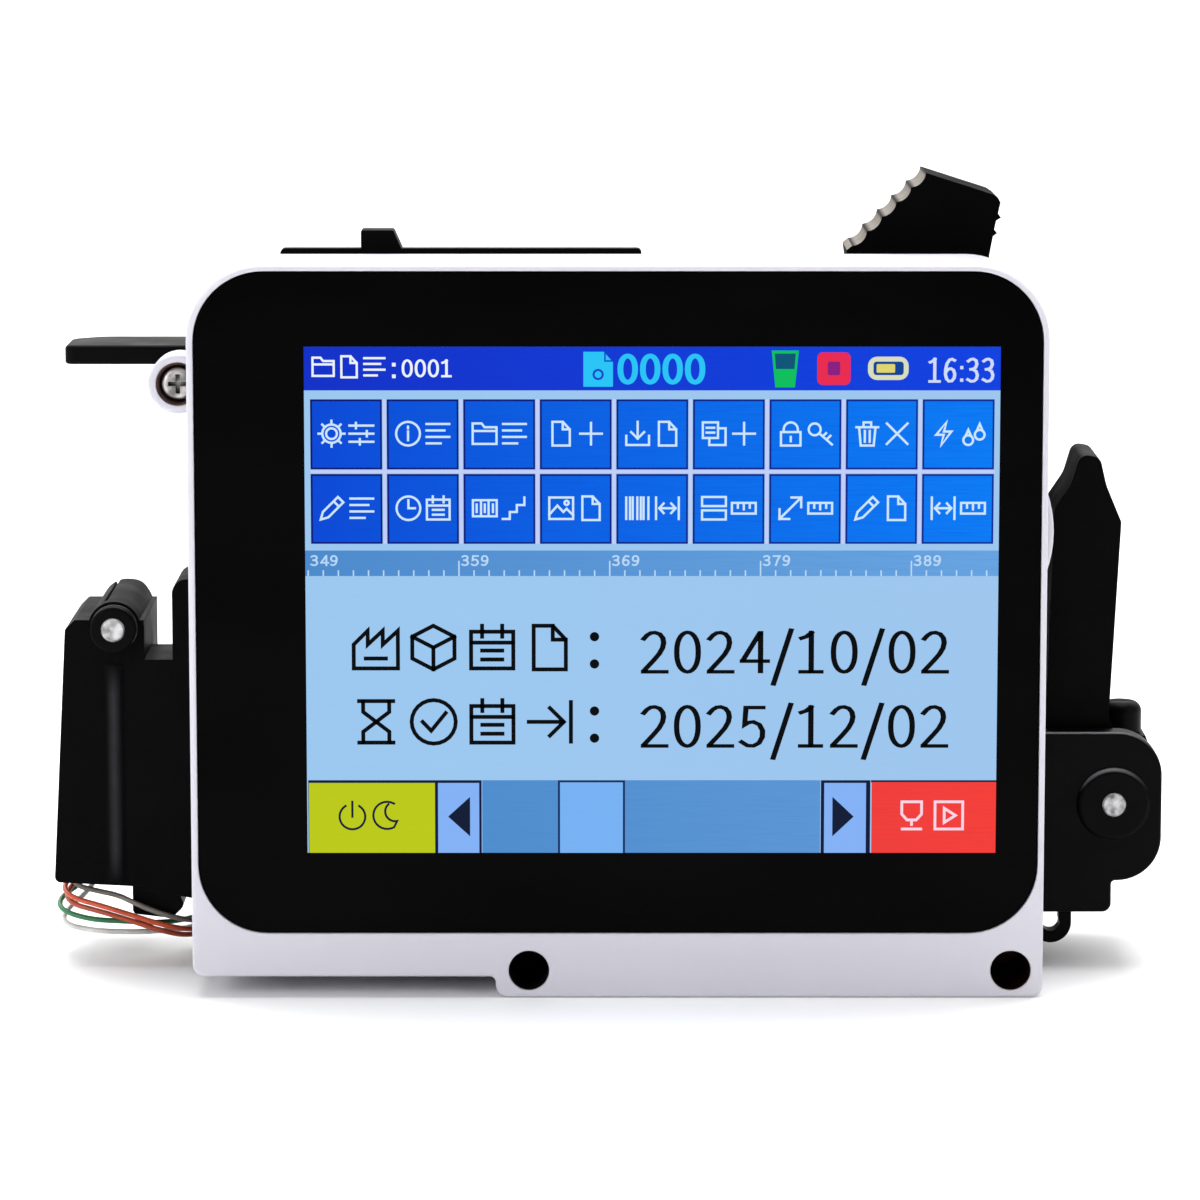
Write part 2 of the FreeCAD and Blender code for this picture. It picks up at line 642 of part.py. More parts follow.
def encoder_arm():
    block = [(-94.8, 14.8, 1.0), (-92.5, 57.9, 0.8), (-90.9, 59.5, 0.6), (-79.2, 59.5),
             (-79.2, 14.0)]
    block = prism("y", block, *ARM_Y)
    boss = rod("y", ARM_PIVOT[0], ARM_PIVOT[1], 4.4, ARM_Y[0], ARM_Y[1])
    web = [(-79.4, 13.4), (-79.4, 52.8), (-74.5, 52.8), (-74.5, 66.4, 2.4), (-66.6, 66.4, 1.0),
           (-66.6, 33.0, 6.0), (-51.0, 19.5, 5.0), (-50.2, 5.6, 5.0), (-62.0, 5.6, 3.0),
           (-71.0, 12.0, 2.0)]
    web = prism("y", web, *POST_Y)
    rib = rod("z", -84.2, ARM_Y[0] + 3.7, 4.05, 15.0, 52.0)
    body = fused([block, boss, web, rib])
    tools = [rod("y", ARM_PIVOT[0], ARM_PIVOT[1], ARM_SHAFT_R, 20.0, 60.0),
             rod("y", WHEEL[0], WHEEL[1], WHEEL_R + 1.0, 26.8, 35.8),
             box(-57.0, -40.0, 26.8, 35.8, 0.0, 24.0),
             rod("y", WHEEL[0], WHEEL[1], 3.0, 20.0, 45.0),
             box(-92.2, -81.4, 25.2, 52.0, 17.0, 51.5),
             box(-93.6, -85.0, 27.5, 46.5, 10.0, 18.0)]
    slit = box(-84.55, -83.85, 26.0, 52.0, 60.4, 64.0)
    slit.rotate(V(ARM_PIVOT[0], 0, ARM_PIVOT[1]), V(0, 1, 0), -22.0)
    tools.append(slit)
    return cut(body, tools)


def arm_cover():
    body = prism("y", [(-94.3, 15.2, 1.0), (-92.6, 53.2, 1.0), (-79.6, 53.2, 1.0),
                       (-79.6, 15.2, 1.0)], ARM_Y[1], ARM_Y[1] + 1.5)
    holes = [rod("y", x, z, 1.1, 45.0, 55.0) for x, z in arm_cover_points()]
    return cut(body, holes)


def arm_cover_points():
    return ((-80.4, 20.0), (-80.4, 48.0))


def arm_cover_screws():
    return [pan_screw("y", x, z, ARM_Y[1] + 2.6, -1, 0.4, radius=1.0, head=1.5, height=1.1)
            for x, z in arm_cover_points()]


def arm_shaft():
    body = rod("y", ARM_PIVOT[0], ARM_PIVOT[1], ARM_SHAFT_R, 19.7, 60.8)
    return bevel(body, 0.3, lies_at_y(19.7))


def shaft_collar():
    body = ring("y", ARM_PIVOT[0], ARM_PIVOT[1], 3.85, ARM_SHAFT_R, 20.0, 22.3)
    return soften(body, 0.4, lambda e: lies_at_y(20.0)(e) and e.Length > 20)


def shaft_washer():
    return ring("y", ARM_PIVOT[0], ARM_PIVOT[1], 3.9, ARM_SHAFT_R, 22.3, 22.7)


def arm_bracket():
    """Plate on the engine box whose eye carries the measuring arm's shaft."""
    side = [(BOX_LEFT, 64.0), (-74.0, 64.0, 3.0), (-74.0, 49.0, 1.0), (-80.8, 49.0, 1.5),
            (-80.8, 57.0), (-87.5, 57.0), (-87.5, 45.5, 2.5), (-83.5, 42.0, 3.0), (BOX_LEFT, 42.0)]
    plate = prism("y", side, 52.9, 56.3)
    eye = rod("y", ARM_PIVOT[0], ARM_PIVOT[1], 3.4, 50.5, 56.3)
    flange = box(-62.9, BOX_LEFT, 52.9, 76.0, 50.0, 64.0)
    tools = [rod("y", ARM_PIVOT[0], ARM_PIVOT[1], ARM_SHAFT_R + RUNNING, 50.0, 60.0)]
    tools += [rod("x", 70.0, z, 1.6, -70.0, -55.0) for z in (53.5, 60.5)]
    return cut(fused([plate, eye, flange]), tools)


def arm_spring():
    return close_coil("y", ARM_PIVOT[0], ARM_PIVOT[1], 2.5, 0.25, 56.6, 5)


def retaining_clip(pivot, shaft, reach, depth):
    body = ring("y", pivot[0], pivot[1], shaft + reach, shaft, depth, depth + 0.6)
    return body.cut(box(pivot[0] - 1.2, pivot[0] + 1.2, depth - 1, depth + 2,
                        pivot[1] - 8, pivot[1]))


def arm_clip():
    return retaining_clip(ARM_PIVOT, ARM_SHAFT_R, 0.9, 59.5)


def wheel_bearings():
    return [ring("y", WHEEL[0], WHEEL[1], 3.0, AXLE_R + RUNNING, low, high)
            for low, high in ((23.6, 26.6), (36.0, 39.6))]


def wheel_axle():
    return rod("y", WHEEL[0], WHEEL[1], AXLE_R, 23.0, 43.5)


def wheel_hub():
    body = ring("y", WHEEL[0], WHEEL[1], 8.4, AXLE_R, WHEEL_Y[0], WHEEL_Y[1])
    boss = ring("y", WHEEL[0], WHEEL[1], 2.6, AXLE_R, WHEEL_Y[0] - 0.4, WHEEL_Y[1] + 0.4)
    body = body.fuse(boss)
    lightening = []
    for i in range(6):
        angle = math.radians(60 * i)
        lightening.append(rod("y", WHEEL[0] + 5.3 * math.cos(angle),
                              WHEEL[1] + 5.3 * math.sin(angle), 1.5, 20.0, 40.0))
    return cut(body, lightening)


def wheel_tyre():
    body = ring("y", WHEEL[0], WHEEL[1], WHEEL_R, 8.4, *WHEEL_Y)
    grooves = [ring("y", WHEEL[0], WHEEL[1], WHEEL_R + 1, WHEEL_R - 0.5, y - 0.3, y + 0.3)
               for y in (29.3, 31.3, 33.3)]
    return cut(body, grooves)


def encoder_body():
    body = rod("y", WHEEL[0], WHEEL[1], 7.0, 39.6, 46.2)
    body = soften(body, 0.8, lies_at_y(46.2))
    return body.cut(rod("y", WHEEL[0], WHEEL[1], AXLE_R + RUNNING, 38.0, 44.0))


def sensor_board():
    return box(-91.4, -82.2, 40.0, 41.2, 20.0, 48.0)


def lead_connector():
    body = [(-82.2, 13.2), (-79.4, 13.2), (-74.6, 12.4), (-73.4, 9.6, 1.2), (-75.6, 7.4, 1.4),
            (-82.2, 8.2, 0.8)]
    return prism("y", body, 28.6, 36.0)


# --- leads from the measuring arm --------------------------------------------------

LEAD_R = 0.45
LEAD_NODES = {"leads_red": ("red", "brown"), "lead_green": ("green",),
              "leads_white": ("white", "grey")}
LEADS = {
    "red": [
        (-90.8, 39.2, 25.0), (-91.2, 39.3, 18.0), (-92.8, 38.4, 13.4), (-94.6, 33.4, 11.9),
        (-92.6, 28.8, 10.9), (-87.6, 27.2, 9.9), (-82.4, 26.6, 8.4), (-77.2, 27.0, 6.6),
        (-72.6, 30.6, 4.9), (-69.2, 38.0, 4.5), (-66.2, 44.6, 4.3), (-60.2, 49.1, 4.2),
        (-51.4, 50.1, 5.8), (-44.8, 48.3, 7.0), (-38.0, 47.7, 7.2)],
    "brown": [
        (-90.0, 41.9, 25.0), (-90.4, 42.0, 17.6), (-92.0, 40.6, 12.4), (-94.2, 35.4, 10.6),
        (-93.0, 30.2, 9.6), (-88.0, 28.4, 8.7), (-82.6, 27.8, 7.2), (-77.6, 28.0, 5.4),
        (-73.2, 31.6, 3.7), (-70.0, 38.8, 3.3), (-67.0, 45.6, 3.2), (-60.4, 50.4, 3.3),
        (-51.4, 51.4, 4.9), (-44.8, 49.6, 6.1), (-38.0, 49.0, 6.3)],
    "green": [
        (-88.6, 42.8, 25.0), (-89.2, 43.2, 17.0), (-91.6, 42.6, 11.0), (-95.4, 36.6, 9.4),
        (-94.8, 31.4, 8.2), (-89.6, 29.4, 7.0), (-84.0, 29.6, 6.7), (-79.4, 31.0, 6.1),
        (-75.2, 34.8, 5.6), (-71.4, 40.0, 5.6), (-68.2, 45.0, 5.6), (-60.6, 51.2, 5.7),
        (-51.4, 52.2, 7.3), (-44.8, 50.4, 8.5), (-38.0, 49.8, 8.7)],
    "white": [
        (-87.2, 44.2, 25.0), (-87.8, 44.6, 16.6), (-90.2, 44.4, 9.8), (-94.8, 38.6, 6.6),
        (-94.4, 32.4, 5.6), (-89.2, 30.2, 4.9), (-83.4, 30.6, 4.6), (-78.2, 33.2, 4.2),
        (-74.6, 37.8, 3.6), (-71.6, 42.4, 3.6), (-68.2, 46.8, 4.0), (-60.8, 51.7, 4.2),
        (-51.4, 52.7, 5.8), (-44.8, 50.9, 7.0), (-38.0, 50.3, 7.2)],
    "grey": [
        (-90.2, 37.8, 25.0), (-90.6, 37.6, 19.0), (-92.6, 35.6, 14.6), (-92.6, 31.6, 12.6),
        (-88.4, 29.8, 11.9), (-84.6, 28.6, 11.4), (-81.4, 26.9, 10.2), (-76.6, 26.2, 8.4),
        (-71.6, 29.8, 6.6), (-69.6, 36.6, 6.1), (-67.0, 43.2, 5.8), (-60.2, 49.6, 5.7),
        (-51.4, 50.6, 7.3), (-44.8, 48.8, 8.5), (-38.0, 48.2, 8.7)],
}


def lead(colour):
    """Tube along straight runs joined by arcs, each as large as its two runs allow."""
    points = [V(*p) for p in LEADS[colour]]
    edges = []
    radii = []
    previous = points[0]
    for before, corner, after in zip(points, points[1:], points[2:]):
        back = before - corner
        ahead = after - corner
        setback = 0.45 * min(back.Length, ahead.Length)
        back.normalize()
        ahead.normalize()
        half = back.getAngle(ahead) / 2
        radius = setback * math.tan(half)
        radii.append(round(radius, 1))
        middle = back + ahead
        middle.normalize()
        start = corner + back * setback
        end = corner + ahead * setback
        top = corner + middle * (radius / math.sin(half) - radius)
        edges.append(Part.LineSegment(previous, start).toShape())
        edges.append(Part.Arc(start, top, end).toShape())
        previous = end
    edges.append(Part.LineSegment(previous, points[-1]).toShape())
    path = Part.Wire(edges)
    along = points[1] - points[0]
    section = Part.Wire([Part.makeCircle(LEAD_R, points[0], along)])
    tube = path.makePipeShell([section], True, False)
    ideal = math.pi * LEAD_R ** 2 * path.Length
    print(colour, "lead: length", round(path.Length, 1), "volume ratio", round(tube.Volume / ideal, 3),
          "radii", radii)
    return tube


def lead_grommet():
    body = ring("x", 49.0, 7.6, 5.4, 3.4, -44.6, BOX_STEP_X)
    return soften(body, 0.6, lambda e: lies_at_x(-44.6)(e) and e.Length > 25)


# --- lever -------------------------------------------------------------------------

def lever_bracket():
    side = [(BOX_RIGHT, 40.4), (91.6, 40.4, 7.5), (91.6, 15.0, 7.4), (83.3, 15.0, 0.7),
            (83.3, 9.6, 1.5), (BOX_RIGHT, 9.6)]
    body = soften(prism("y", side, *BRACKET_Y), 0.5, lies_at_y(BRACKET_Y[0]))
    disc = rod("y", LEVER_PIVOT[0], LEVER_PIVOT[1], 6.2, BRACKET_Y[0] - 1.0, BRACKET_Y[0] + 1)
    disc = soften(disc, 0.9, lies_at_y(BRACKET_Y[0] - 1.0))
    body = fused([body, disc])
    tools = [box(71.4, 95.0, 27.2, 45.0, 18.0, 45.0),
             box(66.0, 95.0, 45.0, 53.0, 36.0, 45.0),
             rod("y", LEVER_PIVOT[0], LEVER_PIVOT[1], LEVER_SHAFT_R + RUNNING, 20.0, 55.0),
             rod("z", KNOB[0], KNOB[1], 1.55, 30.7, 40.0)]
    for y in (32.0, 44.0):
        tools.append(rod("x", y, 13.6, M3_R + 0.1, 60.0, 90.0))
        tools.append(rod("x", y, 13.6, 3.0, 81.0, 90.0))
    return cut(body, tools)


def bracket_screws():
    lever_side = [pan_screw("x", y, 13.6, 82.9, -1, 14.5, radius=1.45) for y in (32.0, 44.0)]
    arm_side = [pan_screw("x", 70.0, z, -64.8, 1, 4.6, radius=1.45) for z in (53.5, 60.5)]
    return lever_side + arm_side


def clamp_lever():
    side = [(72.2, 36.0, 2.0), (73.3, 77.6, 3.0), (76.1, 81.8, 6.0), (77.6, 86.9, 1.6),
            (80.9, 86.3, 1.6), (82.0, 81.6, 8.0), (84.6, 75.4, 0.6), (82.9, 42.0, 3.0),
            (88.6, 31.5, 3.0), (79.4, 24.4, 2.0)]
    body = prism("y", side, *LEVER_Y)
    hub = rod("y", LEVER_PIVOT[0], LEVER_PIVOT[1], 5.6, *LEVER_Y)
    body = fused([body, hub])
    tools = [box(70.0, 95.0, 38.0, 50.0, 15.0, 35.5),
             rod("y", LEVER_PIVOT[0], LEVER_PIVOT[1], LEVER_SHAFT_R, 20.0, 55.0),
             prism("y", rectangle(75.2, 79.8, 46.0, 72.0, 1.2), 41.0, 50.0)]
    return cut(body, tools)


def lever_shaft():
    body = rod("y", LEVER_PIVOT[0], LEVER_PIVOT[1], LEVER_SHAFT_R, 21.6, 54.4)
    return bevel(body, 0.3, lies_at_y(21.6))


def lever_clip():
    return retaining_clip(LEVER_PIVOT, LEVER_SHAFT_R, 1.9, 52.6)


def lever_spring():
    return close_coil("y", LEVER_PIVOT[0], LEVER_PIVOT[1], 3.2, 0.6, 38.4, 5)


def tension_knob():
    body = rod("z", KNOB[0], KNOB[1], 3.6, 36.3, 41.6)
    body = soften(body, 1.8, lies_at_z(41.6))
    stem = rod("z", KNOB[0], KNOB[1], 1.5, 31.0, 36.4)
    slot = box(KNOB[0] - 3.0, KNOB[0] + 3.0, KNOB[1] - 0.4, KNOB[1] + 0.4, 40.8, 42.0)
    return cut(fused([body, stem]), [slot])


def cord_hook():
    outer = rod("y", 73.6, 6.7, 3.5, 28.6, 32.0)
    bend = outer.common(box(60.0, 80.0, 28.0, 33.0, 0.0, 6.7))
    stem = box(75.0, 77.1, 28.6, 32.0, 6.7, 9.6)
    tip = box(70.3, 71.9, 28.6, 32.0, 6.7, 7.8)
    body = fused([bend, stem, tip])
    return body.cut(rod("y", 73.6, 6.7, 1.5, 28.0, 33.0))


# --- write every sub-part ----------------------------------------------------------

SUB_PARTS = [
    front_bezel, touch_glass, lcd_panel, main_board, rear_shell, casing_screws,
    engine_frame, back_cover, cover_screws, base_plate, base_screws,
    driver_board, usb_port, power_jack, power_button, power_switch_body,
    battery_case, battery_cap, battery_cells, battery_contacts, cartridge_holder,
    ink_cartridge, nozzle_plate, contact_board, contact_pins,
    cartridge_latch, latch_pin, latch_spring, print_trigger, trigger_pin, trigger_spring,
    trigger_switch, encoder_arm, arm_cover, arm_cover_screws, arm_shaft, shaft_collar,
    shaft_washer, arm_bracket, arm_spring, arm_clip, wheel_bearings,
    wheel_axle, wheel_hub, wheel_tyre, encoder_body, sensor_board, lead_connector,
    lead_grommet, lever_bracket, bracket_screws, clamp_lever, lever_shaft, lever_clip,
    lever_spring, tension_knob, cord_hook]

for make in SUB_PARTS:
    save(make.__name__, make())
for node, colours in LEAD_NODES.items():
    save(node, [lead(colour) for colour in colours])
print(len(SUB_PARTS) + len(LEAD_NODES), "nodes")
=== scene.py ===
import math

import bmesh
import bpy
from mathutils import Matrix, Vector


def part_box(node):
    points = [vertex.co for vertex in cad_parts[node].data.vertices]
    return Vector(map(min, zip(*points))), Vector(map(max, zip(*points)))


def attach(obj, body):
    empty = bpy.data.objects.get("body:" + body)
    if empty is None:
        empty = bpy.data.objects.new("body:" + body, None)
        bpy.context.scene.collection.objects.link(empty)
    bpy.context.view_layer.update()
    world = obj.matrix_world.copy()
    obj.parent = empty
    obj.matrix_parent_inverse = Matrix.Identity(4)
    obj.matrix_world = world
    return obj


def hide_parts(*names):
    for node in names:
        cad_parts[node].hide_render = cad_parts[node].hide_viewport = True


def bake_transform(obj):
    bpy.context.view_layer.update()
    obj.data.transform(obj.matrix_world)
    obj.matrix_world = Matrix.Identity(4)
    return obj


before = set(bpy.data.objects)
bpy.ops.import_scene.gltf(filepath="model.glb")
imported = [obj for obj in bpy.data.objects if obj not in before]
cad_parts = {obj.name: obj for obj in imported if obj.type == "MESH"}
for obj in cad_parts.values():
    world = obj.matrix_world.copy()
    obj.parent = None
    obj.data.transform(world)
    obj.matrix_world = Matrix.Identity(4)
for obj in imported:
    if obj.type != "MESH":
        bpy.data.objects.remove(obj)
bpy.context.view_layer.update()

MM = 0.001
FRONT_OF_SCREEN = 60.0      # the row frame's origin lies this far behind the screen's front, in mm

# The display's lit picture, in mm: its margins inside the module, and its layout from the top left corner.
PICTURE_WIDE = 112.9
PICTURE_HIGH = 83.4
PICTURE_LEFT_MARGIN = 4.1
PICTURE_TOP_MARGIN = 2.7
LAYER = 0.00003             # thickness of one flat layer of the picture, in metres
STATUS_BOTTOM = 7.1
BUTTON_PITCH = 12.42
BUTTON_WIDE = 11.65
BUTTON_HIGH = 11.45
BUTTON_LEFT = 0.98
BUTTON_RIGHT = 112.1
BUTTON_COLUMNS = 9
BUTTON_ROWS = (8.55, 20.75)  # their top edges
RULER_TOP = 33.3
RULER_BOTTOM = 37.5
RULER_PITCH = 2.456         # from one tick to the next
PAGE_BOTTOM = 71.3
THIN_STROKE = 0.36
BOLD_STROKE = 0.66
MITRE_LIMIT = 0.4           # least cosine used for a stroke's mitre, which keeps sharp corners short

LEAD_RADIUS = 0.45 * MM
LATHE_STEPS = 56            # sides of a turned piece

# The camera, and the point that the lamps aim at, in metres.
CAMERA_DISTANCE = 0.880
CAMERA_RISE = 8.5           # degrees above level
CAMERA_TARGET = (-0.0029, -0.060, 0.0663)
LIT_MIDDLE = (0.0, -0.02, 0.06)

# Guide sockets across the casing and up from the floor, and the washer around the ear's screw, in mm. Depths
# are those of the front and the back, behind the screen's front. Radii are the inner and the outer one.
SOCKET_PLACES = (-14.6, 64.7)
SOCKET_HEIGHT = 4.6
SOCKET_DEPTHS = (0.5, 19.8)
SOCKET_RADII = (3.27, 3.33)
EAR_PLACE = (-72.1, 100.6)
WASHER_DEPTHS = (10.9, 12.15)
WASHER_RADII = (2.8, 3.56)
WASHER_DISH = 0.7           # how far its rim stands forward

# Where the lit colours drift from their left to their right value, in metres across.
DRIFT = (-0.050, 0.062)

# Where a highlight is painted along the crest of the measuring arm's ridge, in metres: each pair runs from
# no painted highlight to the full one.
RIDGE_LEFT = (-0.0856, -0.0846)
RIDGE_RIGHT = (-0.0832, -0.0843)
RIDGE_FOOT = (0.0150, 0.0200)
RIDGE_TOP = (0.0520, 0.0470)

# How far noise is stretched along each axis: drawn out into brushed lines, or not.
BRUSHED_X = (0.04, 1.0, 1.0)
BRUSHED_Y = (1.0, 0.04, 1.0)
EVEN = (1.0, 1.0, 1.0)

# Routes of the five leads from the measuring arm to the base, in mm: x, depth behind the screen, height.
RED_ROUTE = (
    (-90.8, 39.2, 25.0), (-91.2, 39.3, 18.0), (-92.8, 38.4, 13.4), (-94.6, 33.4, 11.9), (-92.6, 28.8, 10.9),
    (-87.6, 27.2, 9.9), (-82.4, 26.6, 8.4), (-77.2, 27.0, 6.6), (-72.6, 30.6, 4.9), (-69.2, 38.0, 4.5),
    (-66.2, 44.6, 4.3), (-60.2, 49.1, 4.2), (-51.4, 50.1, 5.8), (-44.8, 48.3, 7.0), (-38.0, 47.7, 7.2),
)
BROWN_ROUTE = (
    (-90.0, 41.9, 25.0), (-90.4, 42.0, 17.6), (-92.0, 40.6, 12.4), (-94.2, 35.4, 10.6), (-93.0, 30.2, 9.6),
    (-88.0, 28.4, 8.7), (-82.6, 27.8, 7.2), (-77.6, 28.0, 5.4), (-73.2, 31.6, 3.7), (-70.0, 38.8, 3.3),
    (-67.0, 45.6, 3.2), (-60.4, 50.4, 3.3), (-51.4, 51.4, 4.9), (-44.8, 49.6, 6.1), (-38.0, 49.0, 6.3),
)
GREEN_ROUTE = (
    (-88.6, 42.8, 25.0), (-89.2, 43.2, 17.0), (-91.6, 42.6, 11.0), (-95.4, 36.6, 9.4), (-94.8, 31.4, 8.2),
    (-89.6, 29.4, 7.0), (-84.0, 29.6, 6.7), (-79.4, 31.0, 6.1), (-75.2, 34.8, 5.6), (-71.4, 40.0, 5.6),
    (-68.2, 45.0, 5.6), (-60.6, 51.2, 5.7), (-51.4, 52.2, 7.3), (-44.8, 50.4, 8.5), (-38.0, 49.8, 8.7),
)
WHITE_ROUTE = (
    (-87.2, 44.2, 25.0), (-87.8, 44.6, 16.6), (-90.2, 44.4, 9.8), (-94.8, 38.6, 6.6), (-94.4, 32.4, 5.6),
    (-89.2, 30.2, 4.9), (-83.4, 30.6, 4.6), (-78.2, 33.2, 4.2), (-74.6, 37.8, 3.6), (-71.6, 42.4, 3.6),
    (-68.2, 46.8, 4.0), (-60.8, 51.7, 4.2), (-51.4, 52.7, 5.8), (-44.8, 50.9, 7.0), (-38.0, 50.3, 7.2),
)
GREY_ROUTE = (
    (-90.2, 37.8, 25.0), (-90.6, 37.6, 19.0), (-92.6, 35.6, 14.6), (-92.6, 31.6, 12.6), (-88.4, 29.8, 11.9),
    (-84.6, 28.6, 11.4), (-81.4, 26.9, 10.2), (-76.6, 26.2, 8.4), (-71.6, 29.8, 6.6), (-69.6, 36.6, 6.1),
    (-67.0, 43.2, 5.8), (-60.2, 49.6, 5.7), (-51.4, 50.6, 7.3), (-44.8, 48.8, 8.5), (-38.0, 48.2, 8.7),
)


def linear(red, green, blue):
    """A colour given as screen values from 0 to 255, as the renderer's own values."""
    def one(value):
        value /= 255.0
        return value / 12.92 if value <= 0.04045 else ((value + 0.055) / 1.055) ** 2.4
    return (one(red), one(green), one(blue), 1.0)


def shaded(colour, factor):
    """The same colour made darker or brighter."""
    return tuple(min(1.0, part * factor) for part in colour[:3]) + (1.0,)


def from_screen(depth):
    """A depth in mm behind the screen's front, as the row frame's Y."""
    return (depth - FRONT_OF_SCREEN) * MM


# ---------------------------------------------------------------------------------------------- materials

class Finish:
    """The node tree of one material, with short ways to add nodes and join them."""

    def __init__(self, name):
        self.material = bpy.data.materials.new(name)
        self.material.use_nodes = True
        self.nodes = self.material.node_tree.nodes
        self.shader = self.nodes["Principled BSDF"]
        self.place = self.nodes.new("ShaderNodeTexCoord").outputs["Object"]

    def join(self, value, socket):
        """Puts a node's output, or a plain number or colour, on a socket."""
        if isinstance(value, bpy.types.NodeSocket):
            self.material.node_tree.links.new(value, socket)
        else:
            socket.default_value = value

    def set(self, **values):
        """Sets the shader's inputs, with _ for the spaces in their names."""
        for name, value in values.items():
            self.join(value, self.shader.inputs[name.replace("_", " ")])

    def paint(self, where, colour):
        """Lays another colour over the present one, as far as `where` goes from 0 to 1."""
        below = self.shader.inputs["Base Color"].links[0].from_socket
        self.set(Base_Color=self.mix(where, below, colour))

    def stretched(self, scale):
        mapping = self.nodes.new("ShaderNodeMapping")
        self.join(self.place, mapping.inputs["Vector"])
        mapping.inputs["Scale"].default_value = scale
        return mapping.outputs["Vector"]

    def noise(self, scale, detail=4.0, stretch=EVEN):
        """Noise from 0 to 1, with about `scale` cells to the metre."""
        node = self.nodes.new("ShaderNodeTexNoise")
        self.join(self.stretched(stretch), node.inputs["Vector"])
        node.inputs["Scale"].default_value = scale
        node.inputs["Detail"].default_value = detail
        return node.outputs["Fac"]

    def spread(self, value, low, high, to_low=0.0, to_high=1.0):
        """Maps the range from low to high onto another one, and holds it at the ends."""
        node = self.nodes.new("ShaderNodeMapRange")
        self.join(value, node.inputs["Value"])
        limits = {"From Min": low, "From Max": high, "To Min": to_low, "To Max": to_high}
        for name, number in limits.items():
            node.inputs[name].default_value = number
        return node.outputs["Result"]

    def times(self, value, *factors):
        for factor in factors:
            node = self.nodes.new("ShaderNodeMath")
            node.operation = "MULTIPLY"
            self.join(value, node.inputs[0])
            self.join(factor, node.inputs[1])
            value = node.outputs[0]
        return value

    def mix(self, factor, first, second):
        node = self.nodes.new("ShaderNodeMix")
        node.data_type = "RGBA"
        self.join(factor, node.inputs[0])
        self.join(first, node.inputs[6])
        self.join(second, node.inputs[7])
        return node.outputs[2]

    def axis(self, name):
        """One axis of the point's place."""
        node = self.nodes.new("ShaderNodeSeparateXYZ")
        self.join(self.place, node.inputs[0])
        return node.outputs[name]

    def facing(self, name):
        """One axis of the surface's direction, in the node's own frame."""
        node = self.nodes.new("ShaderNodeSeparateXYZ")
        self.join(self.nodes.new("ShaderNodeTexCoord").outputs["Normal"], node.inputs[0])
        return node.outputs[name]

    def rounded(self, radius):
        """The surface's normal as if every edge were rounded to that radius."""
        node = self.nodes.new("ShaderNodeBevel")
        node.samples = 4
        node.inputs["Radius"].default_value = radius
        return node.outputs["Normal"]

    def hollows(self, reach):
        """From 0 deep in corners and recesses to 1 in the open."""
        node = self.nodes.new("ShaderNodeAmbientOcclusion")
        node.samples = 8
        node.inputs["Distance"].default_value = reach
        return self.spread(node.outputs["AO"], 0.35, 0.9)

    def edges(self, rounded):
        """From 0 on flat faces to 1 on edges."""
        node = self.nodes.new("ShaderNodeVectorMath")
        node.operation = "DOT_PRODUCT"
        self.join(rounded, node.inputs[0])
        self.join(self.nodes.new("ShaderNodeNewGeometry").outputs["Normal"], node.inputs[1])
        return self.spread(node.outputs["Value"], 0.985, 0.78)

    def bump(self, height, distance, normal=None):
        node = self.nodes.new("ShaderNodeBump")
        node.inputs["Distance"].default_value = distance
        self.join(height, node.inputs["Height"])
        if normal is not None:
            self.join(normal, node.inputs["Normal"])
        return node.outputs["Normal"]


def moulded(name, colour, worn, rough, grain=1500.0, relief=0.00002, edge=0.00035, wear=0.5, mottle=0.12,
            swing=0.10, gloss=0.5):
    """Moulded plastic: mottled colour, fine eroded grain, uneven gloss and rubbed edges."""
    finish = Finish(name)
    rounded = finish.rounded(edge)
    patches = finish.spread(finish.noise(60.0, 5.0), 0.3, 0.7)
    body = finish.mix(patches, shaded(colour, 1.0 - mottle), colour)
    scuffs_and_highlight_noise = finish.spread(finish.noise(350.0), 0.42, 0.62, 0.0, wear)
    finish.set(
        Base_Color=finish.mix(finish.times(finish.edges(rounded), scuffs_and_highlight_noise), body, worn),
        Roughness=finish.spread(finish.noise(130.0, 6.0), 0.25, 0.75, rough - swing, rough + swing),
        Specular_IOR_Level=gloss,
        Normal=finish.bump(finish.noise(grain, 3.0), relief, rounded),
    )
    return finish


def metal(name, colour, rough, brushing, relief=0.000012, edge=0.0002, tarnish=0.25, reach=0.0008,
          patch=140.0):
    """Bare metal with a brushed or turned grain, dull patches, painted shade in its recesses and bright
    edges.
    """
    finish = Finish(name)
    rounded = finish.rounded(edge)
    lines = finish.noise(900.0, 3.0, brushing)
    patches = finish.spread(finish.noise(patch, 6.0), 0.4, 0.65)
    body = finish.mix(patches, colour, shaded(colour, 1.0 - tarnish))
    rubbed = finish.mix(finish.edges(rounded), body, shaded(colour, 1.25))
    finish.set(
        # Painted shade: corners and recesses, where little light reaches, are painted dark brown.
        Base_Color=finish.mix(finish.hollows(reach), linear(34, 28, 26), rubbed),
        Metallic=1.0,
        Roughness=finish.spread(lines, 0.3, 0.7, rough - 0.08, rough + 0.12),
        Normal=finish.bump(lines, relief, rounded),
    )
    return finish


def casing_white():
    finish = moulded("casing_white", linear(200, 198, 207), linear(232, 231, 238), 0.36, grain=2200.0,
                     relief=0.000012, edge=0.0005, wear=0.35, mottle=0.025, swing=0.06)
    finish.set(Subsurface_Weight=0.06, Subsurface_Radius=(0.0012, 0.0010, 0.0012))
    return finish


def black_plastic(name, rough, gloss, relief=0.00003, mottle=0.2):
    """Deep black plastic with greyed edges."""
    return moulded(name, linear(4, 4, 5), linear(40, 40, 42), rough, relief=relief, wear=0.35, mottle=mottle,
                   gloss=gloss)


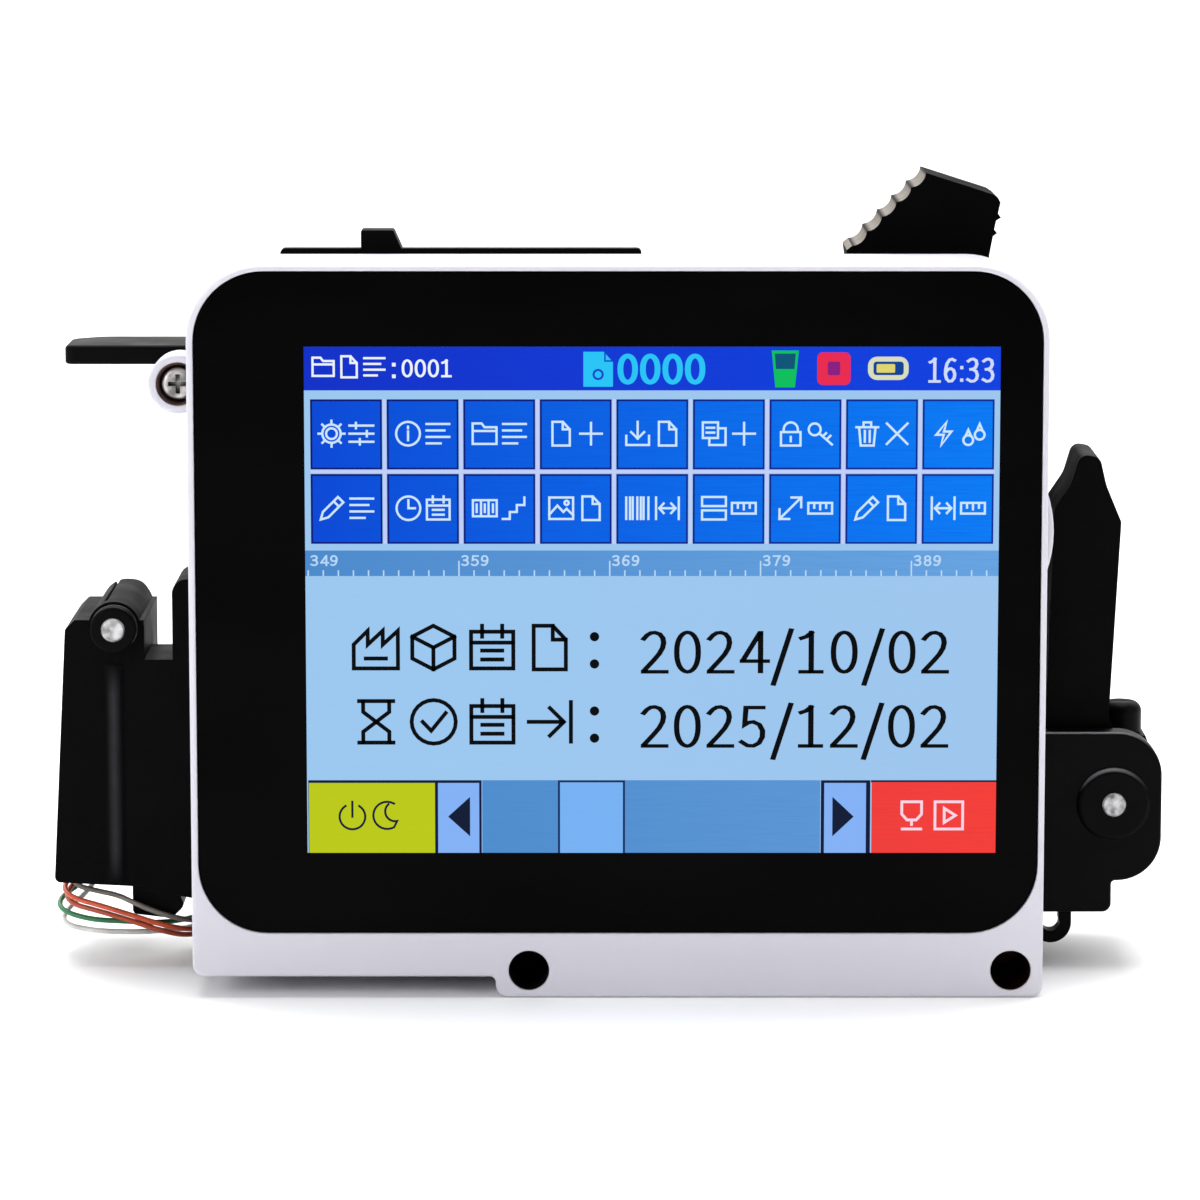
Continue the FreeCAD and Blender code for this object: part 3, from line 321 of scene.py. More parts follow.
def arm_black():
    """The measuring arm's black plastic, with a painted highlight down the crest of its front ridge."""
    finish = black_plastic("arm_black", 0.50, 0.035)
    # Painted highlight: the crest of the ridge, where it faces the front, gets a grey streak, broken up by
    # noise below.
    crest_highlight = finish.times(
        finish.spread(finish.axis("X"), *RIDGE_LEFT), finish.spread(finish.axis("X"), *RIDGE_RIGHT),
        finish.spread(finish.axis("Z"), *RIDGE_FOOT), finish.spread(finish.axis("Z"), *RIDGE_TOP),
        finish.spread(finish.facing("Y"), -0.7, -0.85),
    )
    scuffs_and_highlight_noise = finish.spread(finish.noise(260.0, 5.0), 0.2, 0.8, 0.6, 1.0)
    finish.paint(finish.times(crest_highlight, scuffs_and_highlight_noise), linear(46, 46, 48))
    return finish


def bracket_black():
    """The lever bracket's black plastic, with a painted highlight where its rounded edges look up."""
    finish = black_plastic("bracket_black", 0.46, 0.05)
    # Painted highlight: faces that look up and to the front are painted pale grey, less so where they turn
    # right.
    upward_highlight = finish.times(
        finish.spread(finish.facing("Z"), 0.30, 0.75), finish.spread(finish.facing("Y"), -0.10, -0.35),
        finish.spread(finish.facing("X"), 0.55, 0.0, 0.25, 1.0),
    )
    finish.paint(upward_highlight, linear(116, 116, 118))
    return finish


def latch_black():
    """The latch's black plastic, with a painted highlight in mottled pale grey on its scalloped slope."""
    finish = moulded("latch_black", linear(5, 5, 6), linear(36, 36, 38), 0.62, relief=0.00003, wear=0.4,
                     mottle=0.2, gloss=0.02)
    # Painted highlight: faces of the slope that look up and to the left, towards the key lamp.
    lit_slope = finish.times(
        finish.spread(finish.facing("X"), -0.12, -0.4), finish.spread(finish.facing("Z"), 0.1, 0.3),
    )
    finish.paint(lit_slope, finish.mix(finish.noise(500.0, 5.0), linear(96, 90, 84), linear(150, 144, 138)))
    return finish


def screen_glass():
    """Cover glass, black printed behind, with the faintest smears on it."""
    finish = Finish("screen_glass")
    smears = finish.noise(28.0, 6.0, (1.0, 1.0, 2.4))
    finish.set(
        Base_Color=finish.mix(finish.spread(smears, 0.4, 0.7), linear(1, 1, 1), linear(3, 3, 4)),
        Roughness=finish.spread(smears, 0.35, 0.75, 0.05, 0.13),
        Specular_IOR_Level=0.02,
        Normal=finish.bump(finish.noise(9.0, 2.0), 0.00001, finish.rounded(0.0003)),
    )
    return finish


def circuit_board():
    """Green solder mask over copper runs."""
    finish = Finish("circuit_board")
    runs = finish.nodes.new("ShaderNodeTexBrick")
    finish.join(finish.stretched(EVEN), runs.inputs["Vector"])
    runs.inputs["Scale"].default_value = 260.0
    runs.inputs["Mortar Size"].default_value = 0.06
    mask = runs.outputs["Fac"]
    patches = finish.noise(70.0)
    body = finish.mix(patches, linear(10, 70, 38), linear(16, 92, 50))
    finish.set(
        Base_Color=finish.mix(finish.times(mask, 0.7), body, linear(44, 130, 70)),
        Roughness=finish.spread(patches, 0.3, 0.7, 0.28, 0.42),
        Normal=finish.bump(mask, 0.00003, finish.rounded(0.0002)),
    )
    return finish


def battery_wrap():
    """Shrink sleeve over cells: smooth blue film with small creases."""
    finish = Finish("battery_wrap")
    creases = finish.noise(120.0, 5.0, (1.0, 1.0, 0.25))
    finish.set(
        Base_Color=finish.mix(finish.spread(creases, 0.3, 0.7), linear(20, 48, 104), linear(30, 66, 132)),
        Roughness=finish.spread(creases, 0.3, 0.7, 0.22, 0.38),
        Normal=finish.bump(creases, 0.0001, finish.rounded(0.0004)),
    )
    return finish


def rubber(name, colour):
    """Matt rubber, dusty on its high spots."""
    finish = moulded(name, colour, linear(70, 68, 66), 0.78, grain=1100.0, relief=0.00006, edge=0.0004,
                     wear=0.7, mottle=0.2, swing=0.08)
    finish.set(Sheen_Weight=0.15)
    return finish


def lead_skin(name, colour):
    """Thin soft vinyl insulation, a little uneven and dusty."""
    finish = Finish(name)
    patches = finish.noise(420.0)
    finish.set(
        Base_Color=finish.mix(finish.spread(patches, 0.3, 0.7), shaded(colour, 0.72), colour),
        Roughness=finish.spread(finish.noise(900.0), 0.3, 0.7, 0.36, 0.52),
        Normal=finish.bump(patches, 0.00004),
        Specular_IOR_Level=0.45,
    )
    return finish


def display(name, left, right=None):
    """One colour of the lit picture, which may drift from left to right, with the panel's faint lines."""
    finish = Finish(name)
    across = finish.spread(finish.axis("X"), *DRIFT)
    body = finish.mix(across, left, right or left)
    lines = finish.noise(2600.0, 2.0, (0.05, 1.0, 1.6))
    finish.set(
        Base_Color=(0.001, 0.001, 0.001, 1.0),
        Roughness=finish.spread(lines, 0.3, 0.7, 0.08, 0.14),
        Specular_IOR_Level=0.02,
        Emission_Color=finish.mix(finish.spread(lines, 0.45, 0.8, 0.0, 0.3), body, shaded(left, 0.94)),
        Emission_Strength=1.0,
        Normal=finish.bump(lines, 0.000004),
    )
    return finish


def cad_finishes():
    """The material of each of the record's slots."""
    return {
        "casing_white": casing_white(),
        "screen_glass": screen_glass(),
        "lcd_module": metal("lcd_module", linear(150, 152, 156), 0.42, BRUSHED_X),
        "circuit_board": circuit_board(),
        "black_abs": black_plastic("black_abs", 0.50, 0.035),
        "black_satin": black_plastic("black_satin", 0.44, 0.045, relief=0.000018, mottle=0.18),
        "steel_plate": metal("steel_plate", linear(196, 198, 202), 0.34, BRUSHED_X),
        "steel_shaft": metal("steel_shaft", linear(204, 204, 204), 0.50, EVEN, tarnish=0.78, patch=520.0),
        "screw_steel": metal("screw_steel", linear(196, 193, 190), 0.38, EVEN, tarnish=0.7, patch=420.0),
        "spring_steel": metal("spring_steel", linear(150, 148, 146), 0.30, EVEN),
        "gold_contact": metal("gold_contact", linear(232, 190, 104), 0.22, EVEN),
        "jack_metal": metal("jack_metal", linear(200, 200, 204), 0.26, BRUSHED_Y),
        "battery_wrap": battery_wrap(),
        "ink_shell": moulded("ink_shell", linear(30, 31, 34), linear(80, 80, 84), 0.32, relief=0.000015),
        "hub_grey": moulded("hub_grey", linear(96, 98, 102), linear(150, 150, 154), 0.45),
        "tyre_rubber": rubber("tyre_rubber", linear(28, 28, 29)),
        "grommet_rubber": rubber("grommet_rubber", linear(24, 24, 25)),
        "lead_red": lead_skin("lead_red", linear(214, 84, 50)),
        "lead_green": lead_skin("lead_green", linear(46, 122, 76)),
        "lead_white": lead_skin("lead_white", linear(226, 224, 222)),
        "button_red": moulded("button_red", linear(190, 34, 30), linear(226, 96, 88), 0.34, relief=0.00001),
    }


# ------------------------------------------------------------------------------------- pieces of the model

def add_object(name, mesh, material):
    piece = bpy.data.objects.new(name, mesh)
    bpy.context.scene.collection.objects.link(piece)
    mesh.materials.append(material)
    return piece


def dress_cad_nodes(finishes):
    """Every node of the CAD model gets the finish of its slot, and three get one of their own."""
    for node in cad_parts.values():
        for slot in node.material_slots:
            slot.material = finishes[slot.material.name.split(".")[0]].material
    own = {"cartridge_latch": latch_black(), "encoder_arm": arm_black(), "lever_bracket": bracket_black()}
    for name, finish in own.items():
        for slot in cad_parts[name].material_slots:
            slot.material = finish.material


def bridge(shape, rings, closed=False):
    """Faces from each ring of corners to the next and, if closed, from the last ring to the first."""
    following = rings[1:] + rings[:1] if closed else rings[1:]
    for here, there in zip(rings, following):
        for j in range(len(here)):
            k = (j + 1) % len(here)
            corners = dict.fromkeys((here[j], here[k], there[k], there[j]))
            shape.faces.new(list(corners))


def lathe(name, x, z, profile, finish):
    """A turned piece on an axis that runs front to back. A profile that starts on the axis ends on it."""
    shape = bmesh.new()
    turns = [2 * math.pi * i / LATHE_STEPS for i in range(LATHE_STEPS)]
    rings = []
    for radius, depth in profile:
        if radius == 0.0:
            rings.append([shape.verts.new((x, depth, z))] * LATHE_STEPS)
        else:
            places = [(x + radius * math.cos(t), depth, z + radius * math.sin(t)) for t in turns]
            rings.append([shape.verts.new(place) for place in places])
    bridge(shape, rings, closed=profile[0][0] > 0.0)
    for face in shape.faces:
        face.smooth = True
    bmesh.ops.recalc_face_normals(shape, faces=shape.faces)
    mesh = bpy.data.meshes.new(name)
    shape.to_mesh(mesh)
    shape.free()
    mesh.set_sharp_from_angle(angle=math.radians(35))
    piece = add_object(name, mesh, finish.material)
    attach(piece, "chassis")


def socket_cup(name, x, finish):
    """Lining of one of the two guide sockets in the casing's lower edge: the left one is painted shade, a
    black sheet for the dark of the deep hole, and the right one is a bronze bushing.
    """
    front, back = (from_screen(depth) for depth in SOCKET_DEPTHS)
    inner, outer = (radius * MM for radius in SOCKET_RADII)
    lip, sole = 0.02 * MM, 0.06 * MM
    lathe(name, x * MM, SOCKET_HEIGHT * MM, (
        (0.0, back), (outer - lip, back), (outer, back - lip), (outer, front + lip), (outer - lip, front),
        (inner + lip, front), (inner, front + lip), (inner, back - sole), (0.0, back - sole),
    ), finish)


def ear_washer(finish):
    """Dark dished washer in the recess around the ear's screw."""
    front, back = (from_screen(depth) for depth in WASHER_DEPTHS)
    inner, outer = (radius * MM for radius in WASHER_RADII)
    lip, rim = 0.1 * MM, front - WASHER_DISH * MM
    lathe("ear_washer", EAR_PLACE[0] * MM, EAR_PLACE[1] * MM, (
        (outer, back), (outer, rim), (outer - lip, rim), (inner + lip, front), (inner, front + lip),
        (inner, back),
    ), finish)


def linings():
    bronze = metal("socket_bronze", linear(74, 48, 36), 0.4, BRUSHED_Y, tarnish=0.5)
    # Painted shade: the left socket's black lining stands for the dark inside the deep hole, where no light
    # reaches.
    black = moulded("socket_shade_black", linear(10, 9, 10), linear(30, 28, 28), 0.6, gloss=0.2)
    socket_cup("socket_shade_left", SOCKET_PLACES[0], black)
    socket_cup("socket_cup_right", SOCKET_PLACES[1], bronze)
    ear_washer(metal("washer_brown", linear(126, 98, 90), 0.42, EVEN, tarnish=0.5))


def strand(name, route):
    """One lead as a mesh tube on a smooth line through its route."""
    curve = bpy.data.curves.new(name, "CURVE")
    curve.dimensions = "3D"
    curve.bevel_depth = LEAD_RADIUS
    curve.bevel_resolution = 4
    curve.resolution_u = 16
    curve.use_fill_caps = True
    spline = curve.splines.new("NURBS")
    spline.points.add(len(route) - 1)
    for point, (x, depth, z) in zip(spline.points, route):
        point.co = (x * MM, from_screen(depth), z * MM, 1.0)
    spline.order_u = 3
    spline.use_endpoint_u = True
    holder = bpy.data.objects.new(name, curve)
    bpy.context.scene.collection.objects.link(holder)
    bpy.context.view_layer.update()
    mesh = bpy.data.meshes.new_from_object(holder)
    bpy.data.objects.remove(holder)
    return mesh


def leads(name, node, strands):
    """The leads of one node as one piece, which bends from the base to the measuring arm."""
    joined = bmesh.new()
    for index, (route, _) in enumerate(strands):
        first = len(joined.faces)
        joined.from_mesh(strand(f"{name}_{index}", route))
        joined.faces.ensure_lookup_table()
        for face in joined.faces[first:]:
            face.material_index = index
            face.smooth = True
    bmesh.ops.remove_doubles(joined, verts=joined.verts, dist=0.00001)
    mesh = bpy.data.meshes.new(name)
    joined.to_mesh(mesh)
    joined.free()
    piece = add_object(name, mesh, strands[0][1].material)
    for _, finish in strands[1:]:
        mesh.materials.append(finish.material)
    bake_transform(piece)
    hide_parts(node)


def all_leads(finishes):
    brown = lead_skin("lead_brown", linear(176, 76, 48))
    grey = lead_skin("lead_grey", linear(120, 112, 106))
    red, green, white = (finishes[slot] for slot in ("lead_red", "lead_green", "lead_white"))
    leads("red_pair", "leads_red", [(RED_ROUTE, red), (BROWN_ROUTE, brown)])
    leads("green_lead", "lead_green", [(GREEN_ROUTE, green)])
    leads("white_pair", "leads_white", [(WHITE_ROUTE, white), (GREY_ROUTE, grey)])


# ------------------------------------------------------------------------------------- the lit picture

GLASS_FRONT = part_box("touch_glass")[0].y
MODULE_LOW, MODULE_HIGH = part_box("lcd_panel")
PICTURE_LEFT = MODULE_LOW.x + PICTURE_LEFT_MARGIN * MM
PICTURE_TOP = MODULE_HIGH.z - PICTURE_TOP_MARGIN * MM


def ring(x, y, radius, start=0, sweep=360, steps=24):
    """Points on an arc. A whole turn ends on its first point."""
    turns = [math.radians(start + sweep * i / steps) for i in range(steps + 1)]
    points = [(x + radius * math.cos(t), y + radius * math.sin(t)) for t in turns]
    if sweep == 360:
        points[-1] = points[0]
    return points


def rectangle(left, low, right, high):
    """A closed rectangular line."""
    return [(left, low), (right, low), (right, high), (left, high), (left, low)]


def nought():
    """An upright oval, a little fuller than an ellipse."""
    turns = [math.pi * i / 14 for i in range(28)] + [0.0]
    return [(3.9 + 2.55 * math.cos(t), 5 + math.copysign(abs(math.sin(t)) ** 0.86, math.sin(t)) * 4.6)
            for t in turns]


def spokes(count, inner, outer):
    """Short lines around the middle of a pictogram's cell."""
    turns = [2 * math.pi * i / count for i in range(count)]
    return [[(5 + reach * math.cos(t), 5 + reach * math.sin(t)) for reach in (inner, outer)] for t in turns]


# Numbers as strokes in a cell 10 high.
DIGIT_WIDTH = 7.8
DIGIT_GAP = 0.7
SIGN_WIDTHS = {"/": 5.9, ":": 3.8}
NUMERALS = {
    "0": [nought()],
    "1": [[(1.6, 8.25), (2.7, 8.6), (3.9, 9.5)], [(3.9, 9.55), (3.9, 0.6)], [(1.5, 0.42), (6.2, 0.42)]],
    "2": [[(1.35, 8.1), (2.1, 8.9), (3.0, 9.45), (4.0, 9.55), (5.1, 9.2), (5.85, 8.3), (6.05, 7.2),
           (5.8, 6.0), (5.0, 4.6), (3.7, 3.1), (1.6, 0.9)],
          [(1.3, 0.42), (6.6, 0.42)]],
    "3": [[(1.4, 8.7), (2.6, 9.4), (3.9, 9.55), (5.3, 8.9), (5.7, 7.4), (5.0, 6.0), (3.5, 5.4),
           (2.7, 5.35)],
          [(3.5, 5.35), (5.3, 4.6), (6.0, 3.0), (5.6, 1.5), (4.4, 0.6), (2.9, 0.45), (1.2, 1.2)]],
    "4": [[(5.6, 9.5), (5.6, 0.5)], [(5.3, 9.3), (1.5, 3.2)], [(1.3, 2.9), (7.2, 2.9)]],
    "5": [[(6.2, 9.4), (2.2, 9.4), (1.9, 5.35), (2.8, 5.9), (4.0, 6.05), (5.4, 5.4), (6.15, 4.0),
           (6.1, 2.5), (5.3, 1.1), (4.0, 0.45), (2.6, 0.5), (1.2, 1.35)]],
    "6": [[(6.0, 9.0), (4.8, 9.5), (3.5, 9.2), (2.2, 7.6), (1.6, 5.4), (1.5, 3.2), (2.1, 1.4), (3.3, 0.5),
           (4.7, 0.6), (5.9, 1.8), (6.2, 3.4), (5.6, 5.0), (4.2, 5.7), (2.8, 5.4), (1.7, 4.2)]],
    "7": [[(1.3, 9.4), (6.4, 9.4), (4.6, 5.6), (3.2, 0.6)]],
    "8": [ring(3.9, 7.3, 2.1, steps=18), ring(3.9, 2.8, 2.4, steps=18)],
    "/": [[(0.9, -2.4), (5.0, 10.1)]],
    ":": [[(1.9, 0.8), (1.9, 1.1)], [(1.9, 5.9), (1.9, 6.2)]],
}
NUMERALS["9"] = [[(7.75 - x, 10 - y) for x, y in points] for points in NUMERALS["6"]]

# Pictograms as open or closed strokes in a cell 10 wide and 10 high.
SHAPES = {
    "gear": [ring(5, 5, 2.0), ring(5, 5, 3.4)] + spokes(8, 3.4, 4.8),
    "sliders": [[(0.6, 8), (9.4, 8)], [(0.6, 5), (9.4, 5)], [(0.6, 2), (9.4, 2)],
                [(3, 7), (3, 9)], [(7, 4), (7, 6)], [(4.4, 1), (4.4, 3)]],
    "info": [ring(5, 5, 4.4), [(5, 2.6), (5, 5.8)], [(5, 7.0), (5, 7.6)]],
    "rows": [[(0.8, 8.6), (9.2, 8.6)], [(0.8, 6.2), (7.4, 6.2)], [(0.8, 3.8), (9.2, 3.8)],
             [(0.8, 1.4), (6, 1.4)]],
    "folder": [[(0.6, 1.2), (9.4, 1.2), (9.4, 7.4), (5, 7.4), (3.9, 8.8), (0.6, 8.8), (0.6, 1.2)],
               [(0.6, 6.0), (9.4, 6.0)]],
    "page": [[(1.8, 0.6), (8.2, 0.6), (8.2, 6.6), (5.6, 9.4), (1.8, 9.4), (1.8, 0.6)],
             [(5.6, 9.4), (5.6, 6.6), (8.2, 6.6)]],
    "plus": [[(5, 1), (5, 9)], [(1, 5), (9, 5)]],
    "tray": [[(0.8, 4.2), (0.8, 0.8), (9.2, 0.8), (9.2, 4.2)], [(5, 9.4), (5, 3.2)],
             [(2.6, 5.6), (5, 3.2), (7.4, 5.6)]],
    "copies": [rectangle(0.8, 3.4, 6.4, 9.2), [(3.2, 3.4), (3.2, 0.8), (9.2, 0.8), (9.2, 7), (6.4, 7)],
               [(2.2, 7.2), (5, 7.2)], [(2.2, 5.4), (5, 5.4)]],
    "lock": [rectangle(1.4, 0.6, 8.6, 5.6), ring(5, 6.6, 2.6, 0, 180, 12), [(2.4, 6.6), (2.4, 5.6)],
             [(7.6, 6.6), (7.6, 5.6)], [(5, 2.2), (5, 3.8)]],
    "key": [ring(2.8, 6.6, 2.2), [(4.4, 5.2), (9.2, 1.0)], [(7.2, 2.8), (8.6, 4.2)],
            [(5.8, 4.0), (7.0, 5.2)]],
    "bin": [[(2, 7.2), (2.6, 0.6), (7.4, 0.6), (8, 7.2)], [(1, 7.4), (9, 7.4)],
            [(3.6, 7.6), (3.6, 9.2), (6.4, 9.2), (6.4, 7.6)], [(4.1, 2), (4.1, 6)], [(5.9, 2), (5.9, 6)]],
    "cross": [[(1.2, 1.2), (8.8, 8.8)], [(1.2, 8.8), (8.8, 1.2)]],
    "flash": [[(6, 9.4), (2.2, 4.6), (5, 4.6), (4, 0.6), (7.8, 5.8), (5, 5.8), (6, 9.4)]],
    "drops": [ring(3, 2.6, 1.8), ring(7.2, 4.6, 1.8),
              [(2, 4.2), (3, 6.4), (4, 4.2)], [(6.2, 6.2), (7.2, 8.6), (8.2, 6.2)]],
    "pencil": [[(0.8, 0.8), (1.6, 3.6), (7.2, 9.2), (9.2, 7.2), (3.6, 1.6), (0.8, 0.8)],
               [(5.6, 7.6), (7.6, 5.6)]],
    "clock": [ring(5, 5, 4.4), [(5, 8), (5, 5), (7.4, 5)]],
    "calendar": [rectangle(0.8, 0.8, 9.2, 8.2), [(0.8, 6), (9.2, 6)], [(3, 7.2), (3, 9.4)],
                 [(7, 7.2), (7, 9.4)], [(3, 4.4), (7, 4.4)], [(3, 2.6), (7, 2.6)]],
    "steps": [[(0.6, 1), (3.2, 1), (3.2, 3.6), (5.8, 3.6), (5.8, 6.2), (8.6, 6.2), (8.6, 9)]],
    "counter": [rectangle(0.6, 2, 9.4, 8)] + [[(x, 2), (x, 8)] for x in (3.6, 6.4)]
               + [[(x, 3.6), (x, 6.4)] for x in (2, 5, 8)],
    "picture": [rectangle(0.6, 1, 9.4, 9), [(0.6, 2.6), (3.6, 6), (5.8, 3.6), (7, 4.8), (9.4, 2.4)],
                ring(7, 7, 0.8, steps=10)],
    "bars": [[(x, 1), (x, 9)] for x in (0.8, 2.2, 3.2, 4.9, 6.2, 7.2, 9.0)],
    "split": [rectangle(0.6, 5.8, 9.4, 9.2), rectangle(0.6, 0.8, 9.4, 4.2)],
    "grow": [[(1, 1), (9, 9)], [(5.4, 9), (9, 9), (9, 5.4)], [(4.6, 1), (1, 1), (1, 4.6)]],
    "rule": [rectangle(0.6, 3, 9.4, 7), [(2.8, 7), (2.8, 5.2)], [(5, 7), (5, 4.6)],
             [(7.2, 7), (7.2, 5.2)]],
    "width": [[(0.8, 1), (0.8, 9)], [(9.2, 1), (9.2, 9)], [(2, 5), (8, 5)],
              [(3.6, 3.2), (2, 5), (3.6, 6.8)], [(6.4, 3.2), (8, 5), (6.4, 6.8)]],
    "box": [[(5, 0.6), (0.8, 2.8), (0.8, 7.2), (5, 9.4), (9.2, 7.2), (9.2, 2.8), (5, 0.6)],
            [(0.8, 7.2), (5, 5), (9.2, 7.2)], [(5, 5), (5, 0.6)]],
    "works": [[(0.6, 0.8), (9.4, 0.8), (9.4, 8.4), (6.4, 5.6), (6.4, 8.4), (3.4, 5.6), (3.4, 8.4),
               (0.6, 5.6), (0.6, 0.8)],
              [(3, 2.8), (7, 2.8)]],
    "glass": [[(1.6, 9.2), (8.4, 9.2)], [(1.6, 0.8), (8.4, 0.8)],
              [(2.4, 9.2), (2.4, 7), (7.6, 3), (7.6, 0.8)], [(7.6, 9.2), (7.6, 7), (2.4, 3), (2.4, 0.8)]],
    "tick": [ring(5, 5, 4.4), [(2.8, 5), (4.5, 3.2), (7.4, 6.8)]],
    "limit": [[(0.8, 5), (7.6, 5)], [(5, 7.8), (7.8, 5), (5, 2.2)], [(9.2, 1), (9.2, 9)]],
    "power": [ring(5, 4.6, 3.9, 122, 296, 22), [(5, 9.2), (5, 4.6)]],
    "moon": [ring(5, 5, 4.2, 60, 240, 18) + ring(7.4, 6.2, 3.0, 282, -150, 14)],
    "nozzle": [[(2, 9.2), (8, 9.2), (8, 5.4), (6.4, 3.6), (3.6, 3.6), (2, 5.4), (2, 9.2)],
               [(5, 3.6), (5, 2.2)], [(2.2, 0.8), (7.8, 0.8)]],
    "play": [rectangle(0.8, 0.8, 9.2, 9.2), [(3.6, 2.8), (3.6, 7.2), (7, 5), (3.6, 2.8)]],
}
BUTTON_SHAPES = (
    (("gear", "sliders"), ("info", "rows"), ("folder", "rows"), ("page", "plus"), ("tray", "page"),
     ("copies", "plus"), ("lock", "key"), ("bin", "cross"), ("flash", "drops")),
    (("pencil", "rows"), ("clock", "calendar"), ("counter", "steps"), ("picture", "page"),
     ("bars", "width"), ("split", "rule"), ("grow", "rule"), ("pencil", "page"), ("width", "rule")),
)
PAGE_SHAPES = (("works", "box", "calendar", "page"), ("glass", "tick", "calendar", "limit"))


class Layer:
    """Flat closed shapes of one colour on the lit picture. Level 0 lies on the glass, and each level reaches
    a little into the one below. Places are in mm, u to the right and v down from the picture's corner."""

    def __init__(self, level):
        self.back = GLASS_FRONT - level * LAYER + LAYER / 3
        self.front = GLASS_FRONT - (level + 1) * LAYER
        self.mesh = bmesh.new()

    def corner(self, u, v, depth):
        return self.mesh.verts.new((PICTURE_LEFT + u * MM, depth, PICTURE_TOP - v * MM))

    def prism(self, points):
        """A closed flat plate with that outline."""
        faces = [[self.corner(u, v, depth) for u, v in points] for depth in (self.front, self.back)]
        bridge(self.mesh, faces)
        for face in faces:
            self.mesh.faces.new(face)

    def tile(self, left, top, right, bottom, corner=0.0):
        """A rectangle, with its corners rounded to that radius."""
        if corner == 0.0:
            self.prism([(left, top), (right, top), (right, bottom), (left, bottom)])
            return
        outline = []
        for u, v, start in ((right - corner, bottom - corner, 0), (left + corner, bottom - corner, 90),
                            (left + corner, top + corner, 180), (right - corner, top + corner, 270)):
            outline += ring(u, v, corner, start, 90, 6)
        self.prism(outline)

    def stroke(self, points, width, wide=1.0):
        """A ribbon along a line, mitred at its corners and `wide` times thicker where it runs upright. A
        line that ends where it starts is closed, and any other gets square ends half a width further out."""
        closed = points[0] == points[-1]
        path = [Vector((u / wide, v)) for u, v in (points[:-1] if closed else points)]
        sections = []
        for i, here in enumerate(path):
            before = path[i - 1] if closed or i else None
            after = path[(i + 1) % len(path)] if closed or i + 1 < len(path) else None
            into = (here - before).normalized() if before is not None else (after - here).normalized()
            out = (after - here).normalized() if after is not None else into
            along = (into + out).normalized() if (into + out).length > 1e-6 else into
            across = Vector((-along.y, along.x))
            square = Vector((-into.y, into.x))
            reach = across * (width / 2 / max(MITRE_LIMIT, across.dot(square)))
            if before is None:
                here = here - into * width / 2
            if after is None:
                here = here + into * width / 2
            sections.append([
                self.corner(side.x * wide, side.y, depth) for side, depth in
                ((here + reach, self.front), (here - reach, self.front), (here - reach, self.back),
                 (here + reach, self.back))
            ])
        bridge(self.mesh, sections, closed)
        if not closed:
            self.mesh.faces.new(sections[0])
            self.mesh.faces.new(sections[-1])

    def pictogram(self, shape, left, top, size, width):
        scale = size / 10
        for points in SHAPES[shape]:
            self.stroke([(left + x * scale, top + size - y * scale) for x, y in points], width)

    def digits(self, text, left, top, right, bottom, width, wide=1.3):
        """Numbers that fill the given box, drawn as strokes."""
        starts = [0.0]
        for sign in text:
            starts.append(starts[-1] + SIGN_WIDTHS.get(sign, DIGIT_WIDTH))
        across = (right - left) / (starts[-1] - 2 * DIGIT_GAP)
        down = (bottom - top) / 10
        for sign, start in zip(text, starts):
            first = left + (start - DIGIT_GAP) * across
            for points in NUMERALS[sign]:
                self.stroke([(first + x * across, bottom - y * down) for x, y in points], width, wide)

    def add(self, name, finish):
        """Ends the layer and adds it to the model as one piece."""
        bmesh.ops.remove_doubles(self.mesh, verts=self.mesh.verts, dist=1e-7)
        bmesh.ops.recalc_face_normals(self.mesh, faces=self.mesh.faces)
        mesh = bpy.data.meshes.new(name)
        self.mesh.to_mesh(mesh)
        self.mesh.free()
        piece = add_object(name, mesh, finish.material)
        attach(piece, "chassis")


def tiles(level, name, finish, *places):
    """A piece of plain tiles, each given as left, top, right, bottom and perhaps a corner radius."""
    layer = Layer(level)
    for place in places:
        layer.tile(*place)
    layer.add(name, finish)


def file_name():
    layer = Layer(2)
    for u, shape in ((1.2, "folder"), (5.4, "page"), (9.5, "rows")):
        layer.pictogram(shape, u, 1.3, 3.9, THIN_STROKE)
    for v in (2.6, 4.5):
        layer.tile(14.3, v, 14.9, v + 0.6)
    layer.digits("0001", 15.9, 2.1, 24.0, 4.9, THIN_STROKE, wide=1.2)
    layer.add("screen_status_marks", display("screen_white", linear(236, 244, 252)))


def page_count():
    page = Layer(2)
    page.prism([(45.3, 0.8), (48.6, 0.8), (50.1, 2.5), (50.1, 6.5), (45.3, 6.5)])
    page.digits("0000", 51.0, 1.3, 64.9, 5.95, 0.75, wide=1.25)
    page.add("screen_page_count", display("screen_cyan", linear(40, 196, 246)))
    mark = Layer(3)
    mark.stroke(ring(47.7, 4.5, 0.75, steps=12), 0.35)
    mark.stroke([(48.8, 0.9), (48.8, 2.3), (50.0, 2.3)], 0.25)
    mark.add("screen_page_mark", display("screen_page_blue", linear(16, 70, 206)))


def ink_level():
    tank, gap = Layer(2), Layer(3)
    tank.prism([(75.8, 0.6), (80.2, 0.6), (79.6, 6.6), (76.4, 6.6)])
    tank.add("screen_ink_level", display("screen_green", linear(10, 190, 92)))
    gap.prism([(76.3, 1.1), (79.7, 1.1), (79.5, 3.6), (76.5, 3.6)])
    gap.add("screen_ink_gap", display("screen_dark_teal", linear(8, 84, 120)))


def stop_mark():
    tiles(2, "screen_stop_mark", display("screen_crimson", linear(232, 42, 80)),
          (83.2, 0.9, 88.6, 6.2, 0.9))
    tiles(3, "screen_stop_centre", display("screen_violet", linear(136, 30, 130)),
          (84.9, 2.4, 86.9, 4.6, 0.3))


